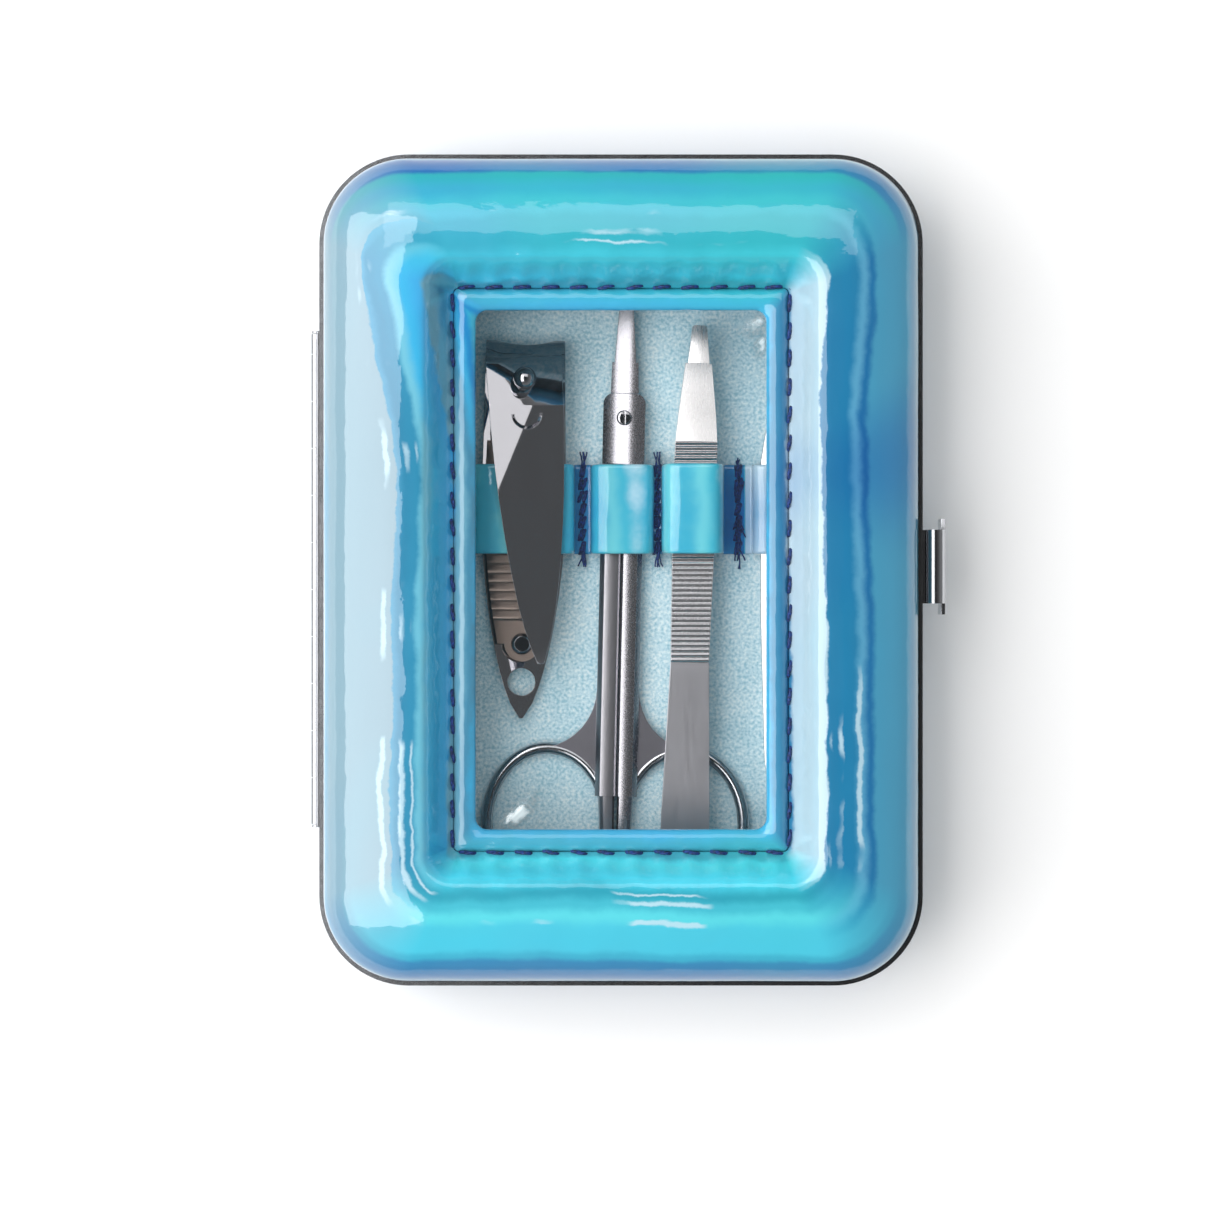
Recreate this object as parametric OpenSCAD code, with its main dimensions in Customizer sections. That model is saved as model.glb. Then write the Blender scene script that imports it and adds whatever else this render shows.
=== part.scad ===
// Manicure set case: a padded clamshell with two steel rims, a clear window in its lid and
// four steel tools held on a flocked board by one stitched strap.
// The case lies on its back: +Z up, +X towards the clasp, +Y towards the tools' tips.
// The origin is the middle of the flat underside.

/* [Case] */
// Width of the closed case across its steel rims
case_w = 87.5; // [84:0.5:100]
// Length of the closed case across its steel rims
case_l = 120.5; // [117:0.5:140]
// Corner radius of the rims seen from above
corner_r = 13; // [10:0.5:16]
// Height of the plane in which the two rims meet
parting_z = 15; // [14.5:0.25:18]
// Gap between the two closed rims
parting_gap = 0.2; // [0.1:0.05:0.4]
// Thickness of the padding under the base shell
base_pad = 2; // [1.5:0.25:4]
// Wall of the two rigid shells
shell_t = 1.2; // [1:0.1:1.5]
// Radius of the base's lower edge
base_edge_r = 7.5; // [5:0.5:9]
// Clearance between pieces that are pressed or glued together
seat_gap = 0.05; // [0.02:0.01:0.1]

/* [Steel rims] */
// Height of each rim's channel
rim_h = 5; // [4:0.25:6.5]
// Thickness of the rims' sheet steel
rim_t = 0.6; // [0.4:0.1:0.8]
// Thickness of the cover's edge inside the channel
edge_t = 0.75; // [0.5:0.05:1]

/* [Lid] */
// Height of the padded border's ridge above the parting plane
ridge_rise = 14.5; // [12:0.5:16]
// Distance of the ridge from the case's outline
ridge_inset = 10.5; // [8:0.25:11.5]
// Height of the window's recess floor above the parting plane
floor_rise = 6.4; // [5.8:0.2:8]
// Distance of the stitch line from the case's outline
stitch_inset = 19.5; // [17:0.25:21]
// Width of the rolled binding round the window
binding_w = 3.25; // [2.5:0.25:5]
// Height of the rolled binding above the pane
binding_h = 1.5; // [1:0.1:2.5]
// Thickness of the clear pane
pane_t = 0.5; // [0.3:0.1:0.8]
// How far the pane reaches under the padding beyond the stitches
pane_lap = 2.5; // [2:0.25:4]

/* [Linings] */
// Thickness of the flocked card in base and lid
lining_t = 0.8; // [0.6:0.1:1.2]

/* [Hinge] */
// Length of the piano hinge
hinge_l = 71.6; // [40:0.2:90]
// Distance of the hinge's middle below the case's middle
hinge_shift = 1.3; // [0:0.1:3]
// Pitch of the knuckles, cut from stock so that the last one is short
knuckle_pitch = 6.86; // [5:0.02:9]
// Radius of the hinge's barrel
knuckle_r = 0.7; // [0.65:0.05:0.9]
// Radius of the hinge pin
hinge_pin_r = 0.35; // [0.3:0.01:0.42]
// Thickness of the hinge's leaves
leaf_t = 0.35; // [0.25:0.05:0.45]

/* [Clasp] */
// Width of the clasp's neck
neck_w = 10.7; // [8:0.1:13]
// Width of the clasp's finger plate
plate_w = 13.9; // [12:0.1:18]
// How far the clasp stands out from the rims
clasp_reach = 4; // [3.6:0.1:5]
// Thickness of the clasp's spring strip
clasp_t = 0.6; // [0.5:0.05:0.8]
// How far the catch's bead stands out from the base rim
catch_out = 1.5; // [1:0.1:1.8]

/* [Strap] */
// Width of the strap along the tools
strap_w = 13.2; // [8:0.2:16]
// Distance of the strap's middle above the case's middle
strap_y = 9.05; // [7:0.05:11]
// Thickness of the strap
strap_t = 0.8; // [0.5:0.1:1.1]

/* [Nail clipper] */
// Length of the clipper from its jaw to its tail
clipper_l = 55.7; // [50:0.1:60]
// Width of the clipper's leaves
clipper_w = 12.5; // [10:0.1:13]
// Thickness of the clipper's leaves
clipper_t = 1.2; // [0.9:0.1:1.4]
// Length of the clipper's lever
lever_l = 45.3; // [38:0.1:47]
// Width of the lever at the pin
lever_w = 11.2; // [9:0.1:12]
// Radius of the clipper's pin
clipper_pin_r = 1.1; // [0.8:0.05:1.3]
// Radius of the key ring hole in the clipper's tail
ring_hole_r = 2; // [1:0.1:2.2]

/* [Scissors] */
// Length from the screw to the blades' tips
blade_l = 24; // [20:0.5:26]
// Length from the screw to the ends of the rings
handle_l = 71.5; // [68:0.5:73]
// Width across the two shanks
shank_w = 6.2; // [5:0.1:6.6]
// Thickness of each half at the joint
scissor_t = 1.5; // [1.2:0.1:1.8]
// Inner width of a finger ring
ring_w = 16.2; // [14:0.2:17]
// Inner length of a finger ring
ring_l = 20.2; // [16:0.2:22]
// Thickness of the ring's wire
ring_t = 1.6; // [1.2:0.1:1.8]
// Radius of the scissors' screw
screw_r = 0.8; // [0.6:0.05:1]

/* [Tweezers] */
// Length of the tweezers
tweezer_l = 84; // [76:0.5:86]
// Width of the tweezers at the tail
tweezer_w = 7.1; // [6:0.1:7.6]
// Thickness of each arm
arm_t = 0.9; // [0.7:0.1:1.1]
// Gap between the two tips at rest
tip_gap = 2.4; // [1.6:0.1:3]
// Pitch of the grip's grooves
groove_pitch = 1.1; // [0.8:0.1:2]

/* [Cuticle pusher] */
// Length of the pusher
pusher_l = 84; // [70:0.5:86]
// Width of the pusher's handle
pusher_w = 7.6; // [6:0.1:8.4]
// Thickness of the pusher's handle
pusher_t = 2; // [1.4:0.1:2.6]

/* [Hidden] */

// Points of a rounded rectangle's outline that lies inside the case's outline by the inset
corner_steps = 6;
side_steps = 5;
end_steps = 3;
function mix(a, b, t) = a + (b - a) * t;
function arc(cx, cy, r, from) = [for (i = [0 : corner_steps])
    let (a = from + 90 * i / corner_steps) [cx + r * cos(a), cy + r * sin(a)]];
function between(p, q, n) = [for (i = [1 : n - 1]) [mix(p.x, q.x, i / n), mix(p.y, q.y, i / n)]];
function outline(inset, r) = let (
        hx = case_w / 2 - inset - r, hy = case_l / 2 - inset - r,
        a = arc(hx, hy, r, 0), b = arc(-hx, hy, r, 90),
        c = arc(-hx, -hy, r, 180), d = arc(hx, -hy, r, 270))
    concat(a, between([hx, hy + r], [-hx, hy + r], end_steps), b,
           between([-hx - r, hy], [-hx - r, -hy], side_steps), c,
           between([-hx, -hy - r], [hx, -hy - r], end_steps), d,
           between([hx + r, -hy], [hx + r, hy], side_steps));
function follow_r(inset) = max(corner_r - inset, 0.6);

// Closed solid through outlines stacked as [inset, height, corner radius]: a loop of them
// makes a frame-shaped body, an open row of them is closed by two flat caps
module loft(rings, looped = false) {
    n = len(outline(rings[0][0], rings[0][2]));
    m = len(rings);
    points = [for (ring = rings) for (p = outline(ring[0], ring[2])) [p.x, p.y, ring[1]]];
    sides = [for (i = [0 : looped ? m - 1 : m - 2]) for (j = [0 : n - 1])
        let (a = i * n + j, b = i * n + (j + 1) % n, up = ((i + 1) % m) * n,
             c = up + (j + 1) % n, d = up + j)
        each [[a, d, c], [a, c, b]]];
    middles = [[0, 0, rings[0][1]], [0, 0, rings[m - 1][1]]];
    caps = [for (j = [0 : n - 1]) let (k = (j + 1) % n)
        each [[m * n, j, k], [m * n + 1, (m - 1) * n + k, (m - 1) * n + j]]];
    polyhedron(looped ? points : concat(points, middles), looped ? sides : concat(sides, caps));
}

// Straight-sided plate between two heights, cut to the case's outline
module plate(inset, r, from, to) {
    translate([0, 0, from]) linear_extrude(to - from) polygon(outline(inset, r));
}
module frame_wall(outer, inner, from, to) {
    difference() {
        plate(outer, follow_r(outer), from, to);
        plate(inner, follow_r(inner), from - 1, to + 1);
    }
}

// Insets of the layers inside the rims, from the outside in
cover_in = rim_t + seat_gap;
shell_in = cover_in + edge_t + seat_gap;
rim_wall_in = shell_in + shell_t + seat_gap;
lining_in = rim_wall_in + rim_t + seat_gap;

// Heights of the base's layers
base_top = parting_z - parting_gap / 2;
base_seat = base_top - rim_t - seat_gap;
shell_bottom = base_pad + seat_gap;
shell_r = base_edge_r - base_pad / 2;
card_bottom = shell_bottom + shell_t + seat_gap;
card_r = shell_in + shell_r - lining_in;
card_top = base_top - 0.4;
board_z = card_bottom + lining_t;

// Heights of the lid's layers
lid_bottom = parting_z + parting_gap / 2;
lid_seat = lid_bottom + rim_t + seat_gap;
pane_z = parting_z + floor_rise;
lid_plate_z = pane_z - shell_t;
card_ceiling = lid_plate_z - seat_gap;
ridge_z = parting_z + ridge_rise;
pane_top = pane_z + pane_t;
sewn_z = pane_top + 0.6;
bound_in = stitch_inset + binding_w;
opening_in = bound_in - 0.6;
window_r = 1.7;
sewn_r = 0.8;
recess_edge_in = stitch_inset - 7.8;
recess_r = 6.5;

pu_blue = "#4FC7DE";
steel = "#D5D8DC";

// Rounded lower edge between the flat bottom and the upright wall
bend_steps = 6;
function bend(inset, z, r) = [for (i = [0 : bend_steps]) let (a = 90 * i / bend_steps)
    [inset + r * (1 - sin(a)), z + r * (1 - cos(a)), follow_r(inset + r * (1 - sin(a)))]];
function reversed(list) = [for (i = [len(list) - 1 : -1 : 0]) list[i]];
module tub(outer_in, outer_z, outer_r, wall, floor_t, top) {
    inner_in = outer_in + wall;
    loft(concat(
        bend(outer_in, outer_z, outer_r), [[outer_in, top, follow_r(outer_in)]],
        [[inner_in, top, follow_r(inner_in)]],
        reversed(bend(inner_in, outer_z + floor_t, outer_r - wall))));
}

// Base: padded cover, rigid shell, steel rim and flocked card
module base_cover() {
    color(pu_blue) loft(concat(
        bend(cover_in, 0, base_edge_r), [[cover_in, base_seat, follow_r(cover_in)]],
        [[cover_in + edge_t, base_seat, follow_r(cover_in + edge_t)]],
        reversed(bend(cover_in + edge_t, base_pad, shell_r))));
}
module base_shell() {
    color("#3A3F45") tub(shell_in, shell_bottom, shell_r, shell_t, shell_t, base_seat);
}
module base_lining() {
    color("#A5C2CB") tub(lining_in, card_bottom, card_r, lining_t, lining_t, card_top);
}
module base_frame() {
    color(steel) difference() {
        frame_wall(0, rim_wall_in + rim_t, base_top - rim_h, base_top);
        frame_wall(rim_t, rim_wall_in, base_top - rim_h - 1, base_top - rim_t);
    }
}

// Lid: the padding climbs from the rim to a ridge and falls to the sewn edge of the window
rise_steps = 6;
fall_steps = 9;
function fall(u) = u * u / (u * u + 1 - u);
function rise_r(inset) = mix(follow_r(cover_in), recess_r, (inset - cover_in) / (ridge_inset - cover_in));
function fall_r(inset) = mix(recess_r, sewn_r,
    max(0, inset - recess_edge_in) / (stitch_inset - recess_edge_in));
module lid_cover() {
    rim_top = lid_bottom + rim_h;
    lap_in = stitch_inset - pane_lap - seat_gap;
    rise = [for (i = [0 : rise_steps]) let (a = 90 * i / rise_steps,
        inset = cover_in + (ridge_inset - cover_in) * (1 - cos(a)))
        [inset, rim_top + 0.9 + (ridge_z - rim_top - 0.9) * sin(a), rise_r(inset)]];
    slope = [for (i = [1 : fall_steps]) let (u = i / fall_steps,
        inset = mix(ridge_inset, stitch_inset, u))
        [inset, mix(ridge_z, sewn_z, fall(u)), fall_r(inset)]];
    hem = cover_in + edge_t;
    under = pane_top + seat_gap;
    color(pu_blue) loft(concat(
        [[cover_in, lid_seat, follow_r(cover_in)]], rise, slope,
        [[stitch_inset, under, sewn_r], [lap_in, under, sewn_r + pane_lap],
         [lap_in, pane_z + seat_gap, sewn_r + pane_lap],
         [hem, pane_z + seat_gap, follow_r(hem)], [hem, lid_seat, follow_r(hem)]]), true);
}
module lid_shell() {
    inner = shell_in + shell_t;
    color("#3A3F45") difference() {
        plate(shell_in, follow_r(shell_in), lid_seat, pane_z);
        plate(inner, follow_r(inner), lid_seat - 1, lid_plate_z);
        plate(opening_in, window_r, lid_plate_z - 1, pane_z + 1);
    }
}
module lid_lining() {
    inner = lining_in + lining_t;
    color("#A5C2CB") difference() {
        plate(lining_in, follow_r(lining_in), lid_bottom + 0.4, card_ceiling);
        plate(inner, follow_r(inner), lid_bottom - 1, card_ceiling - lining_t);
        plate(opening_in, window_r, card_ceiling - lining_t - 1, card_ceiling + 1);
    }
}
module lid_frame() {
    color(steel) difference() {
        frame_wall(0, rim_wall_in + rim_t, lid_bottom, lid_bottom + rim_h);
        frame_wall(rim_t, rim_wall_in, lid_bottom + rim_t, lid_bottom + rim_h + 1);
    }
}
module window_pane() {
    color("#E8F4F8", 0.35) plate(stitch_inset - pane_lap, sewn_r + pane_lap, pane_z, pane_top);
}

// Binding: a rolled band whose crown is half an ellipse
roll_steps = 8;
module window_binding() {
    from = stitch_inset + seat_gap;
    foot = pane_top + seat_gap;
    crown = [for (i = [0 : roll_steps]) let (a = 180 * i / roll_steps, t = (1 - cos(a)) / 2)
        [mix(from, bound_in, t), foot + 0.4 + (binding_h - 0.4) * sin(a), mix(sewn_r, window_r, t)]];
    color(pu_blue) loft(concat([[from, foot, sewn_r]], crown, [[bound_in, foot, window_r]]), true);
}

// Piano hinge: knuckles of the two leaves in turn round one pin, leaves welded on the rims
hinge_x = -(case_w / 2 + seat_gap + knuckle_r);
hinge_low = -hinge_shift - hinge_l / 2;
hinge_high = hinge_low + hinge_l;
knuckles = ceil(hinge_l / knuckle_pitch);
running_gap = 0.05;
leaf_h = rim_h - 0.3;
module barrel(r, from, to) {
    translate([hinge_x, from, parting_z]) rotate([-90, 0, 0]) cylinder(r = r, h = to - from, $fn = 48);
}
module leaf(first, up) {
    clear = knuckle_r + 0.15;
    difference() {
        union() {
            translate([-case_w / 2 - leaf_t, hinge_low, up ? parting_z + clear : parting_z - leaf_h])
                cube([leaf_t, hinge_l, leaf_h - clear]);
            for (i = [first : 2 : knuckles - 1]) {
                low = hinge_low + i * knuckle_pitch + running_gap;
                high = min(hinge_low + (i + 1) * knuckle_pitch, hinge_high) - running_gap;
                barrel(knuckle_r, low, high);
                translate([-case_w / 2 - leaf_t, low, up ? lid_bottom : parting_z - clear - 0.1])
                    cube([leaf_t, high - low, clear + 0.1 - parting_gap / 2]);
            }
        }
        barrel(hinge_pin_r + running_gap, hinge_low - 1, hinge_high + 1);
    }
}
module base_hinge_leaf() {
    color(steel) leaf(0, false);
}
module lid_hinge_leaf() {
    color(steel) leaf(1, true);
}
module hinge_pin() {
    color(steel) union() {
        barrel(hinge_pin_r, hinge_low - 0.4, hinge_high + 0.4);
        barrel(knuckle_r - 0.1, hinge_low - 0.4, hinge_low - running_gap);
        barrel(knuckle_r - 0.1, hinge_high + running_gap, hinge_high + 0.4);
    }
}

// Clasp: a bracket on the lid rim carries a spring strip that arches out and down past a bead
clasp_y = 0.5;
bracket_t = 0.35;
clasp_x = case_w / 2 + bracket_t + seat_gap;
lap_z = lid_bottom + rim_h - 1;
finger_z = parting_z - 6.2;
catch_z = parting_z - 2.6;
// Solid with an outline in the plane across the case, centred on a place along its length
module across(y, w) {
    translate([0, y + w / 2, 0]) rotate([90, 0, 0]) linear_extrude(w) children();
}
module clasp_bracket() {
    color(steel) translate([case_w / 2, clasp_y - neck_w / 2, lid_bottom + 0.4])
        cube([bracket_t, neck_w, rim_h - 1]);
}
module clasp_tab() {
    arch_r = (clasp_reach - bracket_t - seat_gap - 0.7) / 2;
    arch_x = clasp_x + arch_r;
    inner = arch_r - clasp_t;
    plate_x = clasp_x + 2 * arch_r;
    lip = [for (i = [0 : 4]) let (a = 9 * i) [plate_x + 3.4 * (1 - cos(a)), finger_z + 3.4 * (1 - sin(a)) - 0.5]];
    lip_in = [for (p = reversed(lip)) [p.x - clasp_t, p.y]];
    color(steel) union() {
        across(clasp_y, neck_w) union() {
            translate([clasp_x, lid_bottom + 1.4]) square([clasp_t, lap_z - lid_bottom - 1.4]);
            polygon(concat(
                [for (i = [0 : 12]) [arch_x - arch_r * cos(15 * i), lap_z + arch_r * sin(15 * i)]],
                [for (i = [12 : -1 : 0]) [arch_x - inner * cos(15 * i), lap_z + inner * sin(15 * i)]]));
        }
        across(clasp_y, plate_w) polygon(concat(
            [[plate_x - clasp_t, lap_z], [plate_x, lap_z]], lip, lip_in));
        across(clasp_y, neck_w) polygon([for (i = [0 : 8]) let (a = 90 + 22.5 * i)
            [plate_x - clasp_t + 0.1 + 0.65 * cos(a), catch_z - 1.9 + 0.65 * sin(a)]]);
    }
}
module clasp_catch() {
    bead_r = catch_out / 2;
    color(steel) across(clasp_y, neck_w) union() {
        translate([case_w / 2, catch_z - 1.8]) square([leaf_t, 3.6]);
        polygon([for (i = [0 : 12]) let (a = -90 + 15 * i)
            [case_w / 2 + leaf_t / 2 + (catch_out - leaf_t / 2) * cos(a), catch_z + bead_r * sin(a)]]);
    }
}

// Places of the four tools on the card: the clipper's pin, the scissors' screw, the tweezers'
// tail and the pusher's middle, with each tool's lean in degrees
clipper_at = [-14.07, 28.1];
clipper_lean = -0.75;
scissor_at = [0.51, 22.5];
scissor_lean = -1.3;
tweezer_at = [9.1, -48];
tweezer_lean = -1.7;
pusher_at = [24.4, -2];
lay_gap = 0.3;
fit_gap = 0.05;
module placed(at, lean) {
    translate([at.x, at.y, 0]) rotate([0, 0, lean]) children();
}
// Plan outline of a slender tool from its half widths along Y
function mirrored(side) = concat(side, [for (p = reversed(side)) [-p.x, p.y]]);
// Solid with a side outline, as wide as a plan outline
module tool_body(w) {
    intersection() {
        translate([-w, 0, 0]) rotate([90, 0, 90]) linear_extrude(2 * w) children(0);
        linear_extrude(40) children(1);
    }
}
module bore(r, at = [0, 0]) {
    translate([at.x, at.y, -1]) cylinder(r = r, h = 40, $fn = 48);
}

// Nail clipper: two leaves bow apart from the rivet in the tail to the jaws
jaw_y = 5.8;
jaw_drop = 2.1;
tail_y = jaw_y - clipper_l;
rivet_y = tail_y + 11;
hole_y = tail_y + 5.4;
rivet_r = 1.15;
taper_y = tail_y + 31.9;
leaf_low = board_z;
leaf_high = leaf_low + clipper_t + fit_gap;
bow = 2.4;
bow_from = rivet_y + 3;
jaw_gap = 0.9;
function leaf_half(y) = y > taper_y ? mix(clipper_w / 2, clipper_w / 2 - 0.45, (y - taper_y) / (jaw_y - taper_y))
    : clipper_w / 2 * pow(cos(90 * (taper_y - y) / (taper_y - tail_y)), 0.6);
function leaf_side(inset, from, to) = [for (i = [0 : 14]) let (y = mix(from, to, i / 14))
    [max(leaf_half(y) - inset, 0.25), y]];
module leaf_plan(inset = 0) {
    difference() {
        polygon(mirrored(concat(leaf_side(inset, tail_y + 0.02, taper_y), [[leaf_half(jaw_y) - inset, jaw_y]])));
        translate([0, jaw_y + 13.4]) circle(r = 14.1, $fn = 96);
    }
}
edge_z = leaf_high + bow + clipper_t - jaw_drop;
module clipper_lower_leaf() {
    color(steel) placed(clipper_at, clipper_lean) difference() {
        tool_body(clipper_w) {
            polygon([[tail_y, leaf_low], [0.5, leaf_low], [3.2, leaf_low + 0.7], [5, leaf_low + 2],
                     [jaw_y, edge_z], [jaw_y - 0.6, edge_z], [4, leaf_low + 2.6], [2.4, leaf_low + 1.7],
                     [-1, leaf_low + clipper_t], [tail_y, leaf_low + clipper_t]]);
            leaf_plan();
        }
        bore(clipper_pin_r);
        bore(rivet_r + fit_gap, [0, rivet_y]);
        bore(ring_hole_r, [0, hole_y]);
    }
}
module clipper_upper_leaf() {
    top = leaf_high + bow;
    color(steel) placed(clipper_at, clipper_lean) difference() {
        tool_body(clipper_w) {
            polygon([[tail_y, leaf_high], [bow_from, leaf_high], [0, top], [3, top - 0.1],
                     [4.4, top], [jaw_y - 0.6, edge_z + jaw_gap], [jaw_y, edge_z + jaw_gap],
                     [5.4, top + 0.4], [4.2, top + 0.9], [2.6, top + clipper_t], [0, top + clipper_t],
                     [bow_from, leaf_high + clipper_t], [tail_y, leaf_high + clipper_t]]);
            leaf_plan();
        }
        bore(clipper_pin_r + 0.35);
        bore(rivet_r, [0, rivet_y]);
        bore(ring_hole_r, [0, hole_y]);
    }
}
// File: a thin blade above the upper leaf that swings on the tail's rivet, with cross ridges
file_t = 0.6;
file_in = 0.6;
file_from = rivet_y - 2.6;
file_to = -9;
file_low = leaf_high + clipper_t + fit_gap;
file_slope = bow / -bow_from;
ridges = 12;
ridge_pitch = 1.35;
function file_z(y) = file_low + max(0, y - bow_from) * file_slope;
module clipper_file() {
    first = rivet_y + 3.4;
    ridge_points = [for (i = [0 : ridges - 1]) let (y = first + i * ridge_pitch, z = file_z(y) + file_t)
        each [[y, z], [y + 0.3, z + 0.18], [y + 0.6, z + 0.05]]];
    color(steel) placed(clipper_at, clipper_lean) difference() {
        tool_body(clipper_w) {
            polygon(concat([[file_from, file_low], [bow_from, file_low], [file_to, file_z(file_to)],
                            [file_to, file_z(file_to) + file_t - 0.15],
                            [file_to - 1, file_z(file_to - 1) + file_t]],
                           reversed(ridge_points), [[file_from, file_low + file_t]]));
            intersection() {
                leaf_plan(file_in);
                union() {
                    translate([0, rivet_y]) circle(r = 2.6, $fn = 48);
                    translate([-8, rivet_y]) square([16, 60]);
                }
            }
        }
        bore(rivet_r + fit_gap, [0, rivet_y]);
    }
}
module clipper_rivet() {
    head_z = file_low + file_t + 0.1;
    color(steel) placed(clipper_at, clipper_lean) translate([0, rivet_y, leaf_low]) union() {
        cylinder(r = rivet_r, h = head_z - leaf_low + 0.1, $fn = 48);
        translate([0, 0, head_z - leaf_low]) cylinder(r1 = 1.6, r2 = 1.1, h = 0.6, $fn = 48);
    }
}
// Lever: flat over the strap, with its cam bent down onto the upper leaf at the pin
strap_under = file_z(file_to) + file_t + lay_gap + 0.75;
lever_z = strap_under + strap_t + lay_gap;
lever_t = 1;
lever_front = 3.5;
lever_lean = 3.2;
pin_ball_r = 1.7;
function lever_half(y) = max(lever_w / 2 * pow(1 - pow((lever_front - y) / (lever_l + 0.2), 2), 0.66), 0.5);
module clipper_lever() {
    cam_z = leaf_high + bow + clipper_t + 0.15;
    back = lever_front - lever_l;
    color(steel) placed(clipper_at, lever_lean) difference() {
        tool_body(clipper_w) {
            polygon([[back, lever_z + 0.5], [back + 2.5, lever_z], [-6, lever_z], [-3.6, cam_z + 0.3],
                     [-2.8, cam_z], [2.6, cam_z], [lever_front, cam_z + 0.7],
                     [lever_front, lever_z + 0.5], [2.4, lever_z + lever_t], [back + 2.5, lever_z + lever_t],
                     [back, lever_z + lever_t + 0.5]]);
            polygon(mirrored([for (i = [0 : 18]) let (y = mix(back, lever_front, i / 18)) [lever_half(y), y]]));
        }
        bore(clipper_pin_r + 0.12);
        translate([0, -5.2, lever_z - 0.2]) difference() {
            cylinder(r = 2.2, h = 3, $fn = 48);
            translate([0, 0, -1]) cylinder(r = 1.8, h = 5, $fn = 48);
            translate([-3, 0, -1]) cube([6, 3, 5]);
        }
    }
}
module clipper_pin() {
    top = lever_z + lever_t + 0.1;
    ball_z = top + 0.75;
    low = asin(-0.75 / pin_ball_r);
    color(steel) placed(clipper_at, 0) rotate_extrude($fn = 48) polygon(concat(
        [[0, leaf_low], [clipper_pin_r, leaf_low], [clipper_pin_r, top]],
        [for (i = [0 : 10]) let (a = mix(low, 80, i / 10)) [pin_ball_r * cos(a), ball_z + pin_ball_r * sin(a)]],
        [[0, ball_z + pin_ball_r * sin(80)]]));
}

// Scissors: each half is blade, joint box, shank, web and ring; the halves cross at the screw
shank_y = -7.2;
web_y = -40;
scissor_low = board_z + lay_gap;
half_gap = 0.06;
ring_x = 0.35 + ring_t + ring_w / 2;
ring_y = -(handle_l - ring_t - ring_l / 2);
ring_z = scissor_low + ring_t / 2;
ring_steps = 28;
ring_sides = 8;
function ring_point(a, out) = [-ring_x + (ring_w / 2 + ring_t / 2 + out) * cos(a),
                               ring_y + (ring_l / 2 + ring_t / 2 + out) * sin(a)];
module finger_ring() {
    points = [for (i = [0 : ring_steps - 1]) for (j = [0 : ring_sides - 1])
        let (a = 360 * i / ring_steps, b = 360 * (j + 0.5) / ring_sides,
             p = ring_point(a, ring_t / 2 * cos(b) / cos(180 / ring_sides)))
        [p.x, p.y, ring_z + ring_t / 2 * sin(b) / cos(180 / ring_sides)]];
    faces = [for (i = [0 : ring_steps - 1]) for (j = [0 : ring_sides - 1])
        let (a = i * ring_sides + j, b = i * ring_sides + (j + 1) % ring_sides,
             next = ((i + 1) % ring_steps) * ring_sides, c = next + (j + 1) % ring_sides, d = next + j)
        each [[a, b, c], [a, c, d]]];
    polyhedron(points, faces);
}
// The left half, with its joint layer at the height given; the right half is its mirror image
module scissor_half(layer) {
    web_r = 9;
    layer_z = scissor_low + layer * (scissor_t + half_gap);
    shank_h = 2 * scissor_t - 0.2;
    bar = shank_w / 2 - half_gap;
    chamfer = 0.7;
    difference() {
        union() {
            // Blade with a ground step and a tapering point
            translate([0, 0, layer == 0 ? layer_z + 0.4 : layer_z]) linear_extrude(scissor_t - 0.4)
                polygon([[-2.1, 2], [2.1, 2], [1.95, 8.2], [1.6, 8.2], [1.15, 15], [0.25, blade_l],
                         [-0.25, blade_l], [-1.15, 15], [-1.6, 8.2], [-1.95, 8.2]]);
            // Joint box with round shoulders
            translate([0, 0, layer_z]) linear_extrude(scissor_t) polygon(concat(
                [[-shank_w / 2, shank_y + 0.4]],
                [for (i = [0 : 6]) let (a = 180 - 15 * i) [-shank_w / 2 + 1.5 + 1.5 * cos(a), 2.1 + 1.5 * sin(a)]],
                [for (i = [0 : 6]) let (a = 90 - 15 * i) [shank_w / 2 - 1.5 + 1.5 * cos(a), 2.1 + 1.5 * sin(a)]],
                [[shank_w / 2, shank_y + 0.4]]));
            // Shank with broken edges, from the joint to the web
            translate([-half_gap - bar, ring_y + 4, scissor_low]) rotate([90, 0, 0]) mirror([0, 0, 1])
                linear_extrude(shank_y - ring_y - 4)
                polygon([[0, chamfer], [chamfer, 0], [bar - 0.3, 0], [bar, 0.3], [bar, shank_h - 0.3],
                         [bar - 0.3, shank_h], [chamfer, shank_h], [0, shank_h - chamfer]]);
            // Neck that joins the shank to its own joint layer
            translate([-half_gap - bar, shank_y - 0.5, layer_z]) cube([bar, 1.2, scissor_t]);
            // Web that flares from the shank into the ring
            translate([0, 0, scissor_low]) linear_extrude(ring_t) polygon(concat(
                [[-half_gap, web_y], [-shank_w / 2, web_y]],
                [for (i = [0 : 7]) let (a = 10 * i)
                    [-shank_w / 2 - web_r * (1 - cos(a)), web_y - web_r * sin(a)]],
                [for (i = [0 : 9]) ring_point(95 - 9 * i, 0)],
                [[-half_gap - 0.3, ring_y + 3], [-half_gap, ring_y + 5]]));
            finger_ring();
        }
        bore(screw_r + fit_gap);
    }
}
module scissor_left_half() {
    color(steel) placed(scissor_at, scissor_lean) scissor_half(0);
}
module scissor_right_half() {
    color(steel) placed(scissor_at, scissor_lean) mirror([1, 0, 0]) scissor_half(1);
}
module scissor_screw() {
    head_z = scissor_low + 2 * scissor_t + half_gap + 0.08;
    color(steel) placed(scissor_at, scissor_lean) difference() {
        union() {
            translate([0, 0, board_z]) cylinder(r = screw_r, h = head_z + 0.1 - board_z, $fn = 48);
            translate([0, 0, head_z]) cylinder(r1 = screw_r + 0.35, r2 = screw_r + 0.15, h = 0.5, $fn = 48);
        }
        translate([-0.15, -2, head_z + 0.25]) cube([0.3, 4, 1]);
    }
}

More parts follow.
